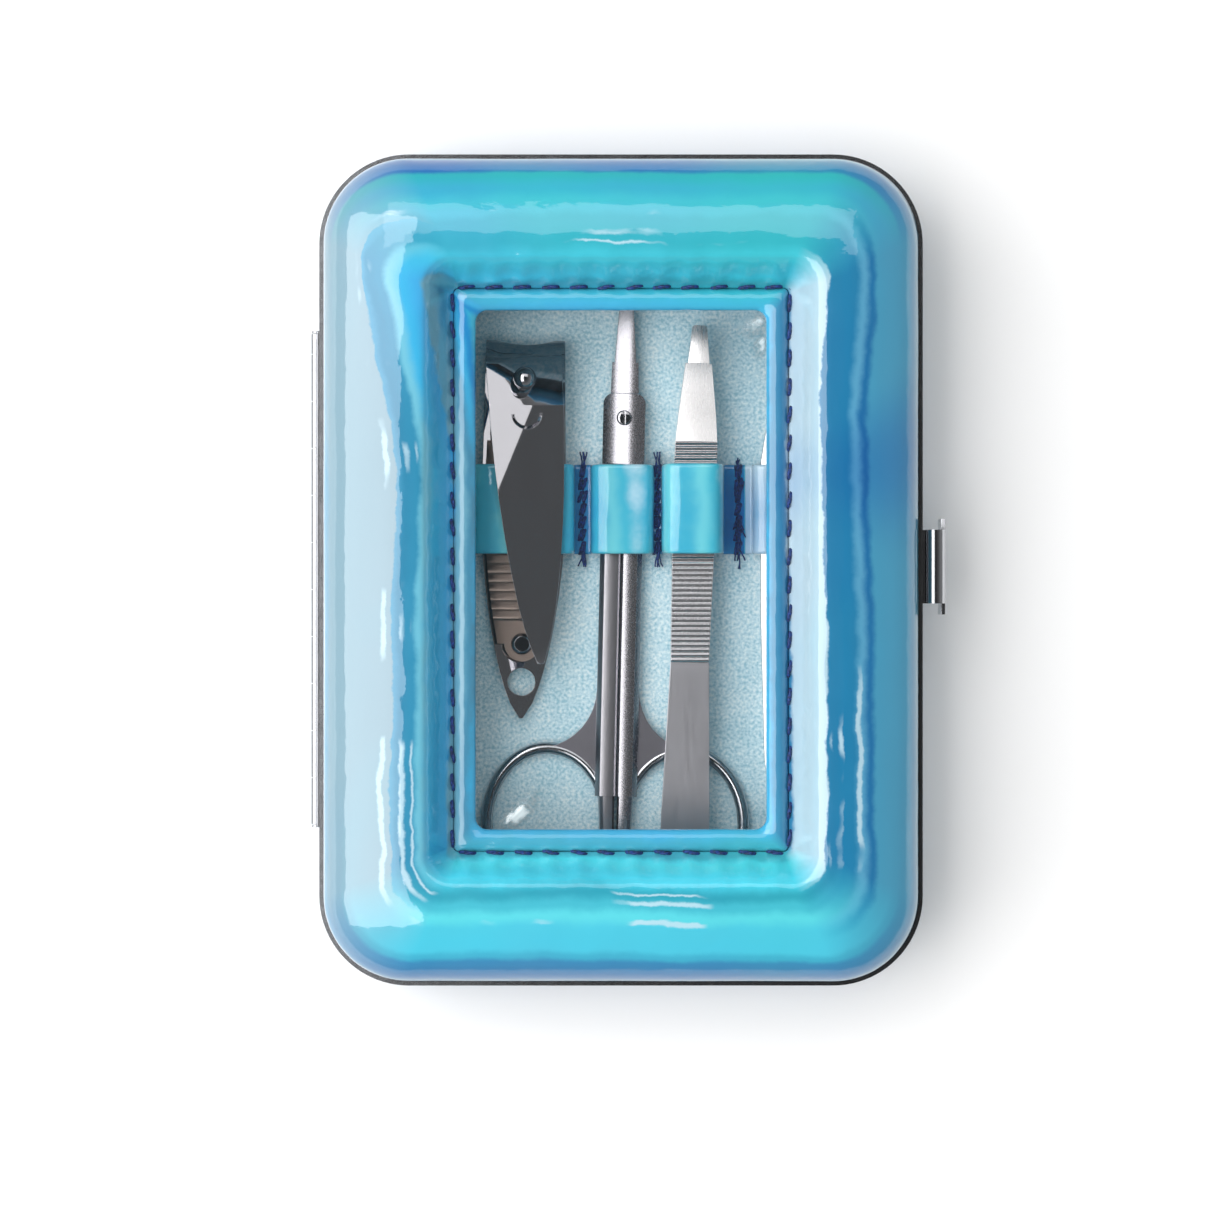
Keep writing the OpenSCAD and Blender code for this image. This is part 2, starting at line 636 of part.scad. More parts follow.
// Tweezers: two bowed arms, welded at the tail, broad side up, with a grooved grip
tweezer_z = board_z + 4.8;
tail_l = 9;
arm_bow = 2.2;
grip_from = 34.5;
grip_to = 66.5;
groove_depth = 0.15;
function arm_gap(y) = half_gap / 2 + (y < tail_l ? 0 : let (t = (y - tail_l) / (tweezer_l - tail_l))
    (tip_gap / 2 * t + arm_bow * sin(180 * t)));
module tweezer_arm() {
    steps = 18;
    grooves = floor((grip_to - grip_from) / groove_pitch);
    along = [for (i = [0 : steps]) mix(0, tweezer_l, i / steps)];
    inner = [for (y = along) [y, tweezer_z + arm_gap(y)]];
    outer_y = concat([for (y = along) if (y < grip_from - 0.5) y],
        [for (i = [0 : grooves]) each [grip_from + i * groove_pitch, grip_from + (i + 0.5) * groove_pitch]],
        [for (y = along) if (y > grip_to + groove_pitch) y]);
    outer = [for (y = outer_y) let (k = (y - grip_from) / groove_pitch,
        cut = k > -0.1 && k < grooves + 0.1 && abs(k - round(k)) < 0.1 ? groove_depth : 0)
        [y, tweezer_z + arm_gap(y) + arm_t * (y > grip_to + 4 ? 0.8 : 1) - cut]];
    tool_body(6) {
        polygon(concat(inner, reversed(outer)));
        polygon(mirrored([[tweezer_w / 2 - 0.6, 0], [tweezer_w / 2 - 0.15, 0.3], [tweezer_w / 2, 1], [tweezer_w / 2, 12],
            [tweezer_w / 2 - 0.35, 24], [2.8, grip_from], [3.05, 50], [3.1, 66.5], [2.75, 71],
            [1.95, 78.4], [1.6, 78.4], [1.1, tweezer_l - 0.3], [0.8, tweezer_l]]));
    }
}
module tweezer_upper_arm() {
    color("#B9B7BC") placed(tweezer_at, tweezer_lean) tweezer_arm();
}
module tweezer_lower_arm() {
    color("#B9B7BC") placed(tweezer_at, tweezer_lean)
        translate([0, 0, 2 * tweezer_z]) mirror([0, 0, 1]) tweezer_arm();
}

// Cuticle pusher: a flat handle that thins to a rounded spade at the top and a point below
module cuticle_pusher() {
    half = pusher_l / 2;
    w = pusher_w / 2;
    spade = 2.4;
    color(steel) placed(pusher_at, 0) tool_body(6) {
        polygon([[-half, board_z], [half - 8, board_z], [half, board_z + 0.7], [half, board_z + 1.2],
                 [half - 8, board_z + 0.9], [half - 18, board_z + pusher_t],
                 [-half + 14, board_z + pusher_t], [-half, board_z + 0.6]]);
        polygon(mirrored(concat(
            [[0.5, -half], [0.9, -half + 1], [w - 0.6, -half + 16], [w, -4], [w, 18], [1.7, half - 12]],
            [for (i = [0 : 8]) let (a = 10 * i) [spade * cos(a), half - 4 + 4 * sin(a)]])));
    }
}

// Strap: flat on the card between arches that bridge the tools, stitched between them
// Each arch is [middle, half width inside, height inside above the card, squareness]
arches = [
    [-14.5, clipper_w / 2 + 0.75, strap_under - board_z, 10],
    [0.2, shank_w / 2 + 0.9, 2 * scissor_t + 2 * lay_gap + 0.4, 4.5],
    [10.6, 3.1 + 0.8, 2 * (tweezer_z - board_z) - 0.2, 6],
    [pusher_at.x, pusher_w / 2 + 0.5, pusher_t + 0.5, 6]];
arch_steps = 24;
// Half of a superellipse standing on the card
module arch_shape(x, w, h, n) {
    translate([x, board_z]) polygon([for (i = [0 : arch_steps]) let (a = 180 * i / arch_steps,
        c = cos(a), s = sin(a)) [w * sign(c) * pow(abs(c), 2 / n), h * pow(s, 2 / n)]]);
}
module tool_strap() {
    ends = 1.6;
    left = arches[0][0] - arches[0][1] - strap_t - ends;
    right = arches[3][0] + arches[3][1] + strap_t + ends;
    color(pu_blue) across(strap_y, strap_w) difference() {
        union() {
            translate([left, board_z]) square([right - left, strap_t]);
            for (a = arches) arch_shape(a[0], a[1] + strap_t, a[2] + strap_t, a[3]);
        }
        for (a = arches) arch_shape(a[0], a[1], a[2], a[3]);
    }
}

base_cover();
base_shell();
base_frame();
base_lining();
base_hinge_leaf();
hinge_pin();
clasp_catch();
tool_strap();
lid_cover();
lid_shell();
lid_frame();
lid_lining();
lid_hinge_leaf();
window_pane();
window_binding();
clasp_tab();
clasp_bracket();
clipper_lower_leaf();
clipper_upper_leaf();
clipper_pin();
clipper_rivet();
clipper_lever();
clipper_file();
scissor_left_half();
scissor_right_half();
scissor_screw();
tweezer_upper_arm();
tweezer_lower_arm();
cuticle_pusher();
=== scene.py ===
import math
import random
import bmesh
import bpy
from mathutils import Matrix, Vector, noise


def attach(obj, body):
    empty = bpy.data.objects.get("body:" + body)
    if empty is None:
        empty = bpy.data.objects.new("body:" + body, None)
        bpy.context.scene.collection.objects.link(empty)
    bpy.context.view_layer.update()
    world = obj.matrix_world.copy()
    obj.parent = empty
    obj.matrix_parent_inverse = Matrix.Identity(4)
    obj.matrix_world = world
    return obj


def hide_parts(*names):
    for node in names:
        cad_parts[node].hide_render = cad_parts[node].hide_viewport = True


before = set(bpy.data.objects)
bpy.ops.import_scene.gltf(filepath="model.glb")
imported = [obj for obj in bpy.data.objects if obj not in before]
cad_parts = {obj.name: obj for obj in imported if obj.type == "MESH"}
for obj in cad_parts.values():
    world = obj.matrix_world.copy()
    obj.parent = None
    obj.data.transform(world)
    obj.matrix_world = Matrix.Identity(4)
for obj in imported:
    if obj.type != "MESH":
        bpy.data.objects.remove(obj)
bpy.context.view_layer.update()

MM = 0.001

# Camera: straight above the closed case with a long lens, as the photograph is taken.
# The picture's middle lies a little left of the case's middle and below it.
PICTURE_PX = 1220
MM_PER_PX = 0.145
CASE_MIDDLE_PX = (621, 570)
LENS_DISTANCE = 800
OUTLINE_HEIGHT = 20
SENSOR = 36
camera = bpy.data.objects.new("camera", bpy.data.cameras.new("camera"))
camera.data.sensor_width = SENSOR
camera.data.lens = SENSOR * LENS_DISTANCE / (PICTURE_PX * MM_PER_PX)
camera.data.clip_start = 0.05
camera.location = ((PICTURE_PX / 2 - CASE_MIDDLE_PX[0]) * MM_PER_PX * MM,
                   (CASE_MIDDLE_PX[1] - PICTURE_PX / 2) * MM_PER_PX * MM,
                   (OUTLINE_HEIGHT + LENS_DISTANCE) * MM)
bpy.context.collection.objects.link(camera)
scene = bpy.context.scene
scene.camera = camera
scene.view_settings.view_transform = "Standard"


# Colours are written as sRGB hex values
def linear(hex_colour):
    parts = [int(hex_colour[i:i + 2], 16) / 255 for i in (1, 3, 5)]
    return [*(p / 12.92 if p <= 0.04045 else ((p + 0.055) / 1.055) ** 2.4 for p in parts), 1.0]


# Adds a node with its settings and links. A link is a socket, or a node for its first output, and
# a value is anything else. Stops are (position, hex colour or grey level) of a colour ramp.
def add(tree, kind, links=None, stops=(), **settings):
    node = tree.nodes.new("ShaderNode" + kind)
    if stops:
        node.color_ramp.interpolation = "EASE"
        while len(node.color_ramp.elements) < len(stops):
            node.color_ramp.elements.new(0.5)
        for element, (position, colour) in zip(node.color_ramp.elements, stops):
            element.position = position
            element.color = linear(colour) if isinstance(colour, str) else (colour, colour, colour, 1)
    for name, value in settings.items():
        setattr(node, name, value)
    for key, value in (links or {}).items():
        if isinstance(value, bpy.types.Node):
            value = value.outputs[0]
        if isinstance(value, bpy.types.NodeSocket):
            tree.links.new(value, node.inputs[key])
        else:
            node.inputs[key].default_value = value
    return node


def new_material(name):
    material = bpy.data.materials.new(name)
    material.use_nodes = True
    tree = material.node_tree
    tree.nodes.clear()
    return material, tree


def finish_material(tree, shader):
    add(tree, "OutputMaterial", {"Surface": shader})


# Studio: a white table and sweep, a wide softbox that leans in from the left, a weaker one at the
# head end, and a room with dim walls and a dark ceiling, as chrome and the padding's crest mirror it
WHITE_PAPER = "#F2F2F2"
FLOOR_SIZE = 4.0
floor_mesh = bpy.data.meshes.new("floor")
half = FLOOR_SIZE / 2
floor_mesh.from_pydata([(-half, -half, 0), (half, -half, 0), (half, half, 0), (-half, half, 0)],
                       [], [(0, 1, 2, 3)])
floor = bpy.data.objects.new("floor", floor_mesh)
bpy.context.collection.objects.link(floor)
paper, tree = new_material("white_paper_matt")
seen = add(tree, "LightPath")
sheet = add(tree, "BsdfDiffuse", {"Color": linear(WHITE_PAPER), "Roughness": 0.5})
lift = add(tree, "Emission", {"Color": linear("#FFFFFF"), "Strength": 0.10})
glow = add(tree, "AddShader", {0: sheet, 1: lift})
any_view = add(tree, "Math", {0: seen.outputs["Is Camera Ray"], 1: seen.outputs["Is Glossy Ray"]},
               operation="MAXIMUM")
any_view = add(tree, "Math", {0: any_view, 1: seen.outputs["Is Transmission Ray"]}, operation="MAXIMUM")
paper_mix = add(tree, "MixShader", {0: any_view, 1: sheet, 2: glow})
finish_material(tree, paper_mix)
floor_mesh.materials.append(paper)

world = bpy.data.worlds.new("studio")
scene.world = world
world.use_nodes = True
tree = world.node_tree
tree.nodes.clear()
seen = add(tree, "LightPath")
direction = add(tree, "TexCoord")
height = add(tree, "SeparateXYZ", {0: direction.outputs["Generated"]})
walls = add(tree, "ValToRGB", {"Fac": height.outputs["Z"]},
            stops=[(0.0, 0.34), (0.45, 0.30), (0.85, 0.12), (1.0, 0.025)])
room = add(tree, "Background", {"Color": walls, "Strength": 1.0})
sweep = add(tree, "Background", {"Color": (1, 1, 1, 1), "Strength": 1.0})
backdrop = add(tree, "MixShader", {0: seen.outputs["Is Camera Ray"], 1: room, 2: sweep})
add(tree, "OutputWorld", {"Surface": backdrop})


def softbox(name, place, size, watts, target=(0, 0, 0.02)):
    lamp = bpy.data.lights.new(name, "AREA")
    lamp.shape = "RECTANGLE"
    lamp.size, lamp.size_y = size
    lamp.energy = watts
    box = bpy.data.objects.new(name, lamp)
    box.location = place
    box.rotation_euler = (Vector(target) - Vector(place)).to_track_quat("-Z", "Y").to_euler()
    bpy.context.collection.objects.link(box)


softbox("left_softbox", (-0.445, 0.0, 0.55), (0.95, 0.84), 7.9)
softbox("head_fill", (0.03, 0.40, 0.72), (0.80, 0.42), 1.5)
# Overhead sheet of diffusion cloth that fills the well of the window, too even to mirror as a spot
softbox("overhead_cloth", (0.02, -0.14, 0.90), (0.55, 0.55), 1.8)
bpy.data.objects["overhead_cloth"].visible_glossy = False


# Padded lid cover: one sheet of holographic PU drawn over moulded foam, clamped in the steel rim
# outside and sewn down round the window, where each stitch pulls a small pucker into the foam
CASE_W, CASE_L, CORNER_R = 87.5, 120.5, 13.0
PARTING, RIM_TOP, PANE_TOP, SEWN_Z = 15.0, 20.1, 21.9, 22.5
COVER_IN, RIDGE_IN, STITCH_IN = 0.65, 10.5, 19.5
RECESS_EDGE_IN, RECESS_R, SEWN_R = 11.7, 6.5, 0.8
# Straight parts of an outline, as shares of the case's sides
STRAIGHT_L, STRAIGHT_W = 0.78, 0.7


def mix(a, b, t):
    return a + (b - a) * t


def follow_r(inset):
    return max(CORNER_R - inset, 0.6)


# Points of one outline inside the case's outline, each with the side it is on and its share in
# the two ends, which passes from 0 to 1 round a corner
def outline(inset, radius, spacing, corner_points):
    hx, hy = CASE_W / 2 - inset - radius, CASE_L / 2 - inset - radius
    counts = [round(CASE_L * STRAIGHT_L / spacing), round(CASE_W * STRAIGHT_W / spacing)]
    middles = [(hx, hy), (-hx, hy), (-hx, -hy), (hx, -hy)]
    points = []
    for corner, (cx, cy) in enumerate(middles):
        for i in range(corner_points + 1):
            a = math.radians(90 * corner + 90 * i / corner_points)
            t = i / corner_points
            share = t if corner % 2 == 0 else 1 - t
            points.append((cx + radius * math.cos(a), cy + radius * math.sin(a), None, share))
        nx, ny = middles[(corner + 1) % 4]
        a = math.radians(90 * (corner + 1))
        start = (cx + radius * math.cos(a), cy + radius * math.sin(a))
        end = (nx + radius * math.cos(a), ny + radius * math.sin(a))
        count = counts[(corner + 1) % 2]
        side = "ends" if corner % 2 == 0 else "sides"
        for i in range(1, count):
            points.append((mix(start[0], end[0], i / count), mix(start[1], end[1], i / count), side,
                           1.0 if side == "ends" else 0.0))
    return points


def link(name, mesh):
    piece = bpy.data.objects.new(name, mesh)
    bpy.context.collection.objects.link(piece)
    return piece


def smooth_mesh(name, verts, faces):
    mesh = bpy.data.meshes.new(name)
    mesh.from_pydata(verts, [], faces)
    mesh.polygons.foreach_set("use_smooth", [True] * len(mesh.polygons))
    mesh.update()
    return mesh


# Mesh through outlines stacked as (inset, height, radius); the attributes keep each point's inset
# in mm and its share in the ends. Open rows of outlines are closed with two flat caps.
def lofted(name, rings, looped, spacing=0.8, corner_points=22, shift=None):
    points, faces, m = [], [], len(rings)
    for number, (inset, z, radius) in enumerate(rings):
        points += [(Vector((x, y, z)), inset, end, side, number)
                   for x, y, side, end in outline(inset, radius, spacing, corner_points)]
    n = len(points) // m
    for i in range(m if looped else m - 1):
        a, b = i * n, ((i + 1) % m) * n
        faces += [(a + j, a + (j + 1) % n, b + (j + 1) % n, b + j) for j in range(n)]
    if not looped:
        for start, turn in ((0, 1), ((m - 1) * n, -1)):
            rim, inset = points[start][:2]
            points.append((Vector((0, 0, rim.z)), inset, 0.5, None, 0))
            for j in range(n):
                pair = (start + (j + 1) % n, start + j)
                faces.append((len(points) - 1, *(pair if turn > 0 else pair[::-1])))
    verts, insets, ends, sides, numbers = zip(*points)
    mesh = smooth_mesh(name, [v * MM for v in verts], faces)
    if shift:
        normals = [v.normal.copy() for v in mesh.vertices]
        for v, normal, number, side, place in zip(mesh.vertices, normals, numbers, sides, verts):
            v.co += normal * shift(place, number, side) * MM
    mesh.attributes.new("inset", "FLOAT", "POINT").data.foreach_set("value", insets)
    mesh.attributes.new("end", "FLOAT", "POINT").data.foreach_set("value", ends)
    mesh.update()
    return link(name, mesh)


# Corner radius of the cover's outlines: from the case's own to the recess's at the ridge, and on
# to the sharp corners of the stitched line
def cover_r(inset):
    if inset < RIDGE_IN:
        return mix(follow_r(COVER_IN), RECESS_R, (inset - COVER_IN) / (RIDGE_IN - COVER_IN))
    return mix(RECESS_R, SEWN_R, max(0, inset - RECESS_EDGE_IN) / (STITCH_IN - RECESS_EDGE_IN))


# Section of the padding as (inset, height): a quick shoulder, a long easy slope up to a broad
# crest, and a steep drop to the stitched line
SHOULDER = [(0.65, 20.6), (0.85, 22.2), (1.45, 23.7), (2.4, 25.0), (4.0, 26.35), (6.2, 27.55),
            (8.6, 28.45), (10.8, 28.95), (13.2, 29.1), (15.0, 28.9), (15.8, 28.3), (16.5, 27.4),
            (17.3, 26.05), (18.2, 24.45), (19.0, 23.15), (19.5, 22.5)]


def smooth_section(points, steps=4):
    placed = [Vector(q) for q in points]
    placed = [2 * placed[0] - placed[1], *placed, 2 * placed[-1] - placed[-2]]
    smooth = []
    for a, b, c, d in zip(placed, placed[1:], placed[2:], placed[3:]):
        for i in range(steps):
            t = i / steps
            smooth.append(0.5 * (2 * b + (c - a) * t + (2 * a - 5 * b + 4 * c - d) * t * t
                                 + (3 * b - a - 3 * c + d) * t ** 3))
    return [*smooth, placed[-2]]


STITCHES = {"ends": (12, CASE_W / 2 - STITCH_IN), "sides": (20, CASE_L / 2 - STITCH_IN)}


def stitch_phase(place, side):
    count, half_length = STITCHES[side]
    coordinate = place.x if side == "ends" else place.y
    return (coordinate + half_length) / (2 * half_length) * count


def inset_of(place):
    return min(CASE_W / 2 - abs(place.x), CASE_L / 2 - abs(place.y))


PUCKER_DEPTH, PUCKER_AT, PUCKER_REACH = 0.26, 1.6, 1.9
# Swells of the foam as (height, size, place in the noise), and grain of the skin as (height, size)
SWELLS = ((0.30, 21.0, (0, 0, 0)), (0.10, 7.0, (5, 3, 1)), (0.025, 2.2, (0, 0, 0)))
DOME_AT, DOME_REACH, GRAIN = 8, 10, (0.018, 0.9)
# Ripples that run down the steep wall, and the wall's middle and half width, from the stitches
RIPPLE, RIPPLE_SIZE, WALL_AT, WALL_REACH = 0.11, Vector((4.0, 4.0, 30.0)), 4.5, 3.5
section = smooth_section(SHOULDER)


def cover_shape(place, number, side):
    if not 2 < number < 1 + len(section):
        return 0.0
    inset = inset_of(place)
    dome = max(0.0, 1 - abs(inset - DOME_AT) / DOME_REACH)
    lift = 0.0
    for height, size, start in SWELLS:
        lift += dome * height * noise.noise(place / size + Vector(start))
    near = max(0.0, STITCH_IN - inset)
    wall = math.exp(-((near - WALL_AT) / WALL_REACH) ** 2)
    along = Vector(a / size for a, size in zip(place, RIPPLE_SIZE))
    lift += wall * RIPPLE * noise.noise(along)
    if side and near < 8:
        wave = 0.5 + 0.5 * math.cos(2 * math.pi * (stitch_phase(place, side) - 0.5))
        depth = PUCKER_DEPTH if side == "ends" else PUCKER_DEPTH * 0.5
        shape = math.exp(-((near - PUCKER_AT) / PUCKER_REACH) ** 2)
        lift += depth * (wave ** 1.5) * shape * min(1, near / 0.8)
    return lift + GRAIN[0] * noise.noise(place / GRAIN[1])


def cover_rings():
    rings = [(COVER_IN, PARTING + 0.75, follow_r(COVER_IN)), (COVER_IN, RIM_TOP, follow_r(COVER_IN))]
    rings += [(inset, z, cover_r(inset)) for inset, z in section]
    lap = STITCH_IN - 2.55
    hem = COVER_IN + 0.75
    rings += [(STITCH_IN, PANE_TOP + 0.05, SEWN_R), (lap, PANE_TOP + 0.05, 3.3),
              (lap, PANE_TOP - 0.45, 3.3), (hem, PANE_TOP - 0.45, follow_r(hem)),
              (hem, PARTING + 0.75, follow_r(hem))]
    return rings


# Holographic PU: a clear glossy skin, whose high index gives a stronger glare than plain PU, over a
# bright diffracting film with hardly any gloss of its own. The film's bands follow the folds: cyan on
# the two ends and steel blue on the long sides. Light and shade are painted into these bands too. The
# pale bands are painted highlights of the left softbox: on the left side's outer slope, on the
# binding's left slope, and on the right side's inner slope, which leans to the left. The deep blue
# on the outer shoulders of the two ends is painted shade.
# Each stop is at its distance in mm from the outline. The strap is cut from beyond 23 mm.
FILM_MM = 30.0
FILM_STRAP = [
    (23.2, "#3FA6D2"), (24.4, "#2489C4"), (25.6, "#3DB2D0"), (27.0, "#6DCFDA"), (28.4, "#46BCD2"),
    (29.8, "#DDF3F8")]
# Pale stops from 1.9 to 11.0 mm on the outer slope and from 19.6 to 20.6 mm on the binding are painted
# highlights
FILM_LEFT_AND_PAINTED_LIGHT = [
    (0.8, "#4E98BC"), (1.9, "#7D9CAA"), (11.0, "#839FAD"), (11.3, "#3E8DB0"), (12.3, "#2B7FA2"),
    (14.0, "#2F86A9"), (15.2, "#69B5CC"), (17.0, "#3AAAD8"), (18.9, "#40A5DA"), (19.6, "#6AA3B9"),
    (20.6, "#6AA3B9"), (21.8, "#498BAA"), *FILM_STRAP]
# Pale stops from 15.0 to 19.3 mm on the inner slope are a painted highlight
FILM_RIGHT_AND_PAINTED_LIGHT = [
    (0.8, "#4F93AC"), (1.6, "#2F86AC"), (2.6, "#479BBE"), (7.2, "#4597B9"), (8.3, "#1D6DA2"),
    (9.6, "#549BBE"), (11.0, "#1F76A2"), (14.7, "#1E719B"), (15.0, "#A9C4D1"), (19.3, "#B0C6D2"),
    (20.0, "#30749F"), (22.0, "#3E83A7"), *FILM_STRAP]
# Deep blue from 1.4 to 3.0 mm on the outer shoulder is painted shade
FILM_TOP_AND_PAINTED_SHADE = [
    (0.8, "#4F9CC0"), (1.4, "#1464A6"), (3.0, "#146CB0"), (3.7, "#24A8B4"), (6.0, "#32A3C3"),
    (8.4, "#3FB2C7"), (9.5, "#45B0CA"), (11.0, "#3AA2BC"), (14.0, "#339FB8"), (16.7, "#40B8D2"),
    (18.5, "#45BEDF"), (19.5, "#3D94B3"), (21.0, "#3CA4C0"), *FILM_STRAP]
# Deep blue from 1.4 to 3.6 mm on the outer shoulder is painted shade
FILM_BOTTOM_AND_PAINTED_SHADE = [
    (0.8, "#3F7FA0"), (1.4, "#2A72A8"), (3.6, "#2F84B4"), (4.6, "#38AAC8"), (5.8, "#45C0D9"),
    (8.9, "#48BED5"), (10.8, "#55CBD7"), (12.4, "#3FB0C3"), (14.0, "#2B98AD"), (16.7, "#4BD0E7"),
    (18.6, "#52DBE9"), (19.6, "#48A7BA"), (21.0, "#439EB7"), *FILM_STRAP]
# Painted highlight streaks beside the crest, as (mm from the outline, level)
HIGHLIGHT_STREAKS = [(9.4, 0), (9.7, 1), (10.1, 1), (10.4, 0), (12.3, 0), (12.6, 1), (12.9, 1), (13.3, 0),
           (13.9, 0), (14.1, 1), (14.2, 1), (14.4, 0)]
# How far the bands wander, how ragged they are, and how much the left pale band, a painted highlight,
# narrows, in mm
WANDER, RAGGED, NARROWING = 4.0, 1.9, 5.5
WANDER_FROM = -2.7
# The bands keep closer to the folds within about 7 mm of the outline
FIRM_PER_MM = 0.14
# Per metre, how fast one side's film passes into the other's, and where the narrowing of the left painted
# highlight sets in
SIDE_PER_M, RISE_PER_M, RISE_FROM = 25.0, 28.0, -0.42


def holographic_pu(name):
    material, tree = new_material(name)
    inset = add(tree, "Attribute", attribute_name="inset")
    end = add(tree, "Attribute", attribute_name="end")
    spot = add(tree, "TexCoord").outputs["Object"]
    x, y, _ = add(tree, "SeparateXYZ", {0: spot}).outputs
    slow = add(tree, "TexNoise", {"Vector": spot, "Scale": 30.0, "Detail": 2.0})
    fine = add(tree, "TexNoise", {"Vector": spot, "Scale": 210.0, "Detail": 5.0, "Roughness": 0.6})
    # Towards the clasp, towards the head end, and beyond the middle there
    east = add(tree, "Math", {0: x, 1: SIDE_PER_M, 2: 0.5}, operation="MULTIPLY_ADD", use_clamp=True)
    north = add(tree, "Math", {0: y, 1: SIDE_PER_M, 2: 0.5}, operation="MULTIPLY_ADD", use_clamp=True)
    rise = add(tree, "Math", {0: y, 1: RISE_PER_M, 2: RISE_FROM}, operation="MULTIPLY_ADD", use_clamp=True)
    # The pale band on the left, a painted highlight, narrows towards the head end
    west = add(tree, "Math", {0: 1.0, 1: east}, operation="SUBTRACT")
    narrow = add(tree, "Math", {0: rise, 1: west}, operation="MULTIPLY")
    along = add(tree, "Math", {0: 1.0, 1: end.outputs["Fac"]}, operation="SUBTRACT")
    narrow = add(tree, "Math", {0: narrow, 1: along}, operation="MULTIPLY")
    drift = add(tree, "Math", {0: slow, 1: WANDER, 2: WANDER_FROM}, operation="MULTIPLY_ADD")
    ragged = add(tree, "Math", {0: fine, 1: RAGGED, 2: drift}, operation="MULTIPLY_ADD")
    shifted = add(tree, "Math", {0: narrow, 1: NARROWING, 2: ragged}, operation="MULTIPLY_ADD")
    firm = add(tree, "Math", {0: inset.outputs["Fac"], 1: FIRM_PER_MM}, operation="MULTIPLY", use_clamp=True)
    shifted = add(tree, "Math", {0: shifted, 1: firm}, operation="MULTIPLY")
    moved = add(tree, "Math", {0: inset.outputs["Fac"], 1: shifted}, operation="ADD")
    band = add(tree, "Math", {0: moved, 1: FILM_MM}, operation="DIVIDE")
    tones = {}
    film_ramps_and_painted_light = {"left": FILM_LEFT_AND_PAINTED_LIGHT, "right": FILM_RIGHT_AND_PAINTED_LIGHT, "top": FILM_TOP_AND_PAINTED_SHADE, "bottom": FILM_BOTTOM_AND_PAINTED_SHADE}
    for side, film_and_painted_light in film_ramps_and_painted_light.items():
        tones[side] = add(tree, "ValToRGB", {"Fac": band}, stops=[(mm / FILM_MM, tone) for mm, tone in film_and_painted_light])
    share = add(tree, "Math", {0: slow, 1: 0.5, 2: -0.25}, operation="MULTIPLY_ADD")
    share = add(tree, "Math", {0: end.outputs["Fac"], 1: share}, operation="ADD", use_clamp=True)
    # A Mix node's sockets 6 and 7 are its two colours, and its output 2 the mix
    sides = add(tree, "Mix", {"Factor": east, 6: tones["left"], 7: tones["right"]}, data_type="RGBA")
    ends = add(tree, "Mix", {"Factor": north, 6: tones["bottom"], 7: tones["top"]}, data_type="RGBA")
    film_and_painted_light = add(tree, "Mix", {"Factor": share, 6: sides.outputs[2], 7: ends.outputs[2]}, data_type="RGBA")
    # Teal patches on the two ends, and deeper blue ones towards the clasp
    patch = add(tree, "TexNoise", {"Vector": spot, "Scale": 17.0, "Detail": 1.0})
    teal = add(tree, "ValToRGB", {"Fac": patch}, stops=[(0.60, 0.0), (0.78, 0.3)])
    deep = add(tree, "ValToRGB", {"Fac": patch}, stops=[(0.28, 0.75), (0.45, 0.0)])
    teal = add(tree, "Math", {0: teal, 1: share}, operation="MULTIPLY")
    film_and_painted_light = add(tree, "Mix", {"Factor": teal, 6: film_and_painted_light.outputs[2], 7: linear("#1FC0AC")}, data_type="RGBA")
    # Pale streaks beside the crest, broken up by noise: painted highlights
    streak = add(tree, "ValToRGB", {"Fac": band}, stops=[(mm / FILM_MM, level) for mm, level in HIGHLIGHT_STREAKS])
    gaps = add(tree, "TexNoise", {"Vector": spot, "Scale": 48.0, "Detail": 3.0})
    broken = add(tree, "ValToRGB", {"Fac": gaps}, stops=[(0.54, 0.0), (0.60, 0.8)])
    streak = add(tree, "Math", {0: streak, 1: broken}, operation="MULTIPLY")
    film_and_painted_light = add(tree, "Mix", {"Factor": streak, 6: film_and_painted_light.outputs[2], 7: linear("#B9D6E2")}, data_type="RGBA")
    deep = add(tree, "Math", {0: deep, 1: east}, operation="MULTIPLY")
    film_and_painted_light = add(tree, "Mix", {"Factor": deep, 6: film_and_painted_light.outputs[2], 7: linear("#5FA6E6")},
               data_type="RGBA", blend_type="MULTIPLY")
    skin = add(tree, "TexNoise", {"Vector": spot, "Scale": 320.0, "Detail": 3.0})
    ripple = add(tree, "Bump", {"Height": skin, "Strength": 0.16, "Distance": 0.0003})
    shader = add(tree, "BsdfPrincipled", {
        "Base Color": film_and_painted_light.outputs[2], "Roughness": 0.28, "IOR": 1.5, "Specular IOR Level": 0.15,
        "Coat Weight": 1.0, "Coat Roughness": 0.03, "Coat IOR": 1.65, "Normal": ripple,
        "Coat Normal": ripple})
    finish_material(tree, shader)
    return material


cover_pu = holographic_pu("holographic_pu_glossy")
lid_cover = lofted("lid_cover_padded", cover_rings(), True, shift=cover_shape)
lid_cover.data.materials.append(cover_pu)
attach(lid_cover, "lid")
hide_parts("lid_cover")


# Rolled binding: a narrow band of the same PU folded over a cord and sewn round the window,
# with the stitches' pull showing as shallow dents along its outer foot
BINDING_W, BINDING_H = 3.25, 1.5
WINDOW_R, BINDING_FROM, ROLL_STEPS = 1.7, STITCH_IN + 0.05, 26


def binding_shape(place, number, side):
    inset = inset_of(place)
    lift = 0.05 * noise.noise(place / 3.0) + 0.02 * noise.noise(place / 1.1)
    if side:
        wave = 0.5 + 0.5 * math.cos(2 * math.pi * stitch_phase(place, side))
        lift -= 0.12 * wave * math.exp(-((inset - BINDING_FROM) / 0.9) ** 2)
    return lift if 0 < number < ROLL_STEPS else 0.0


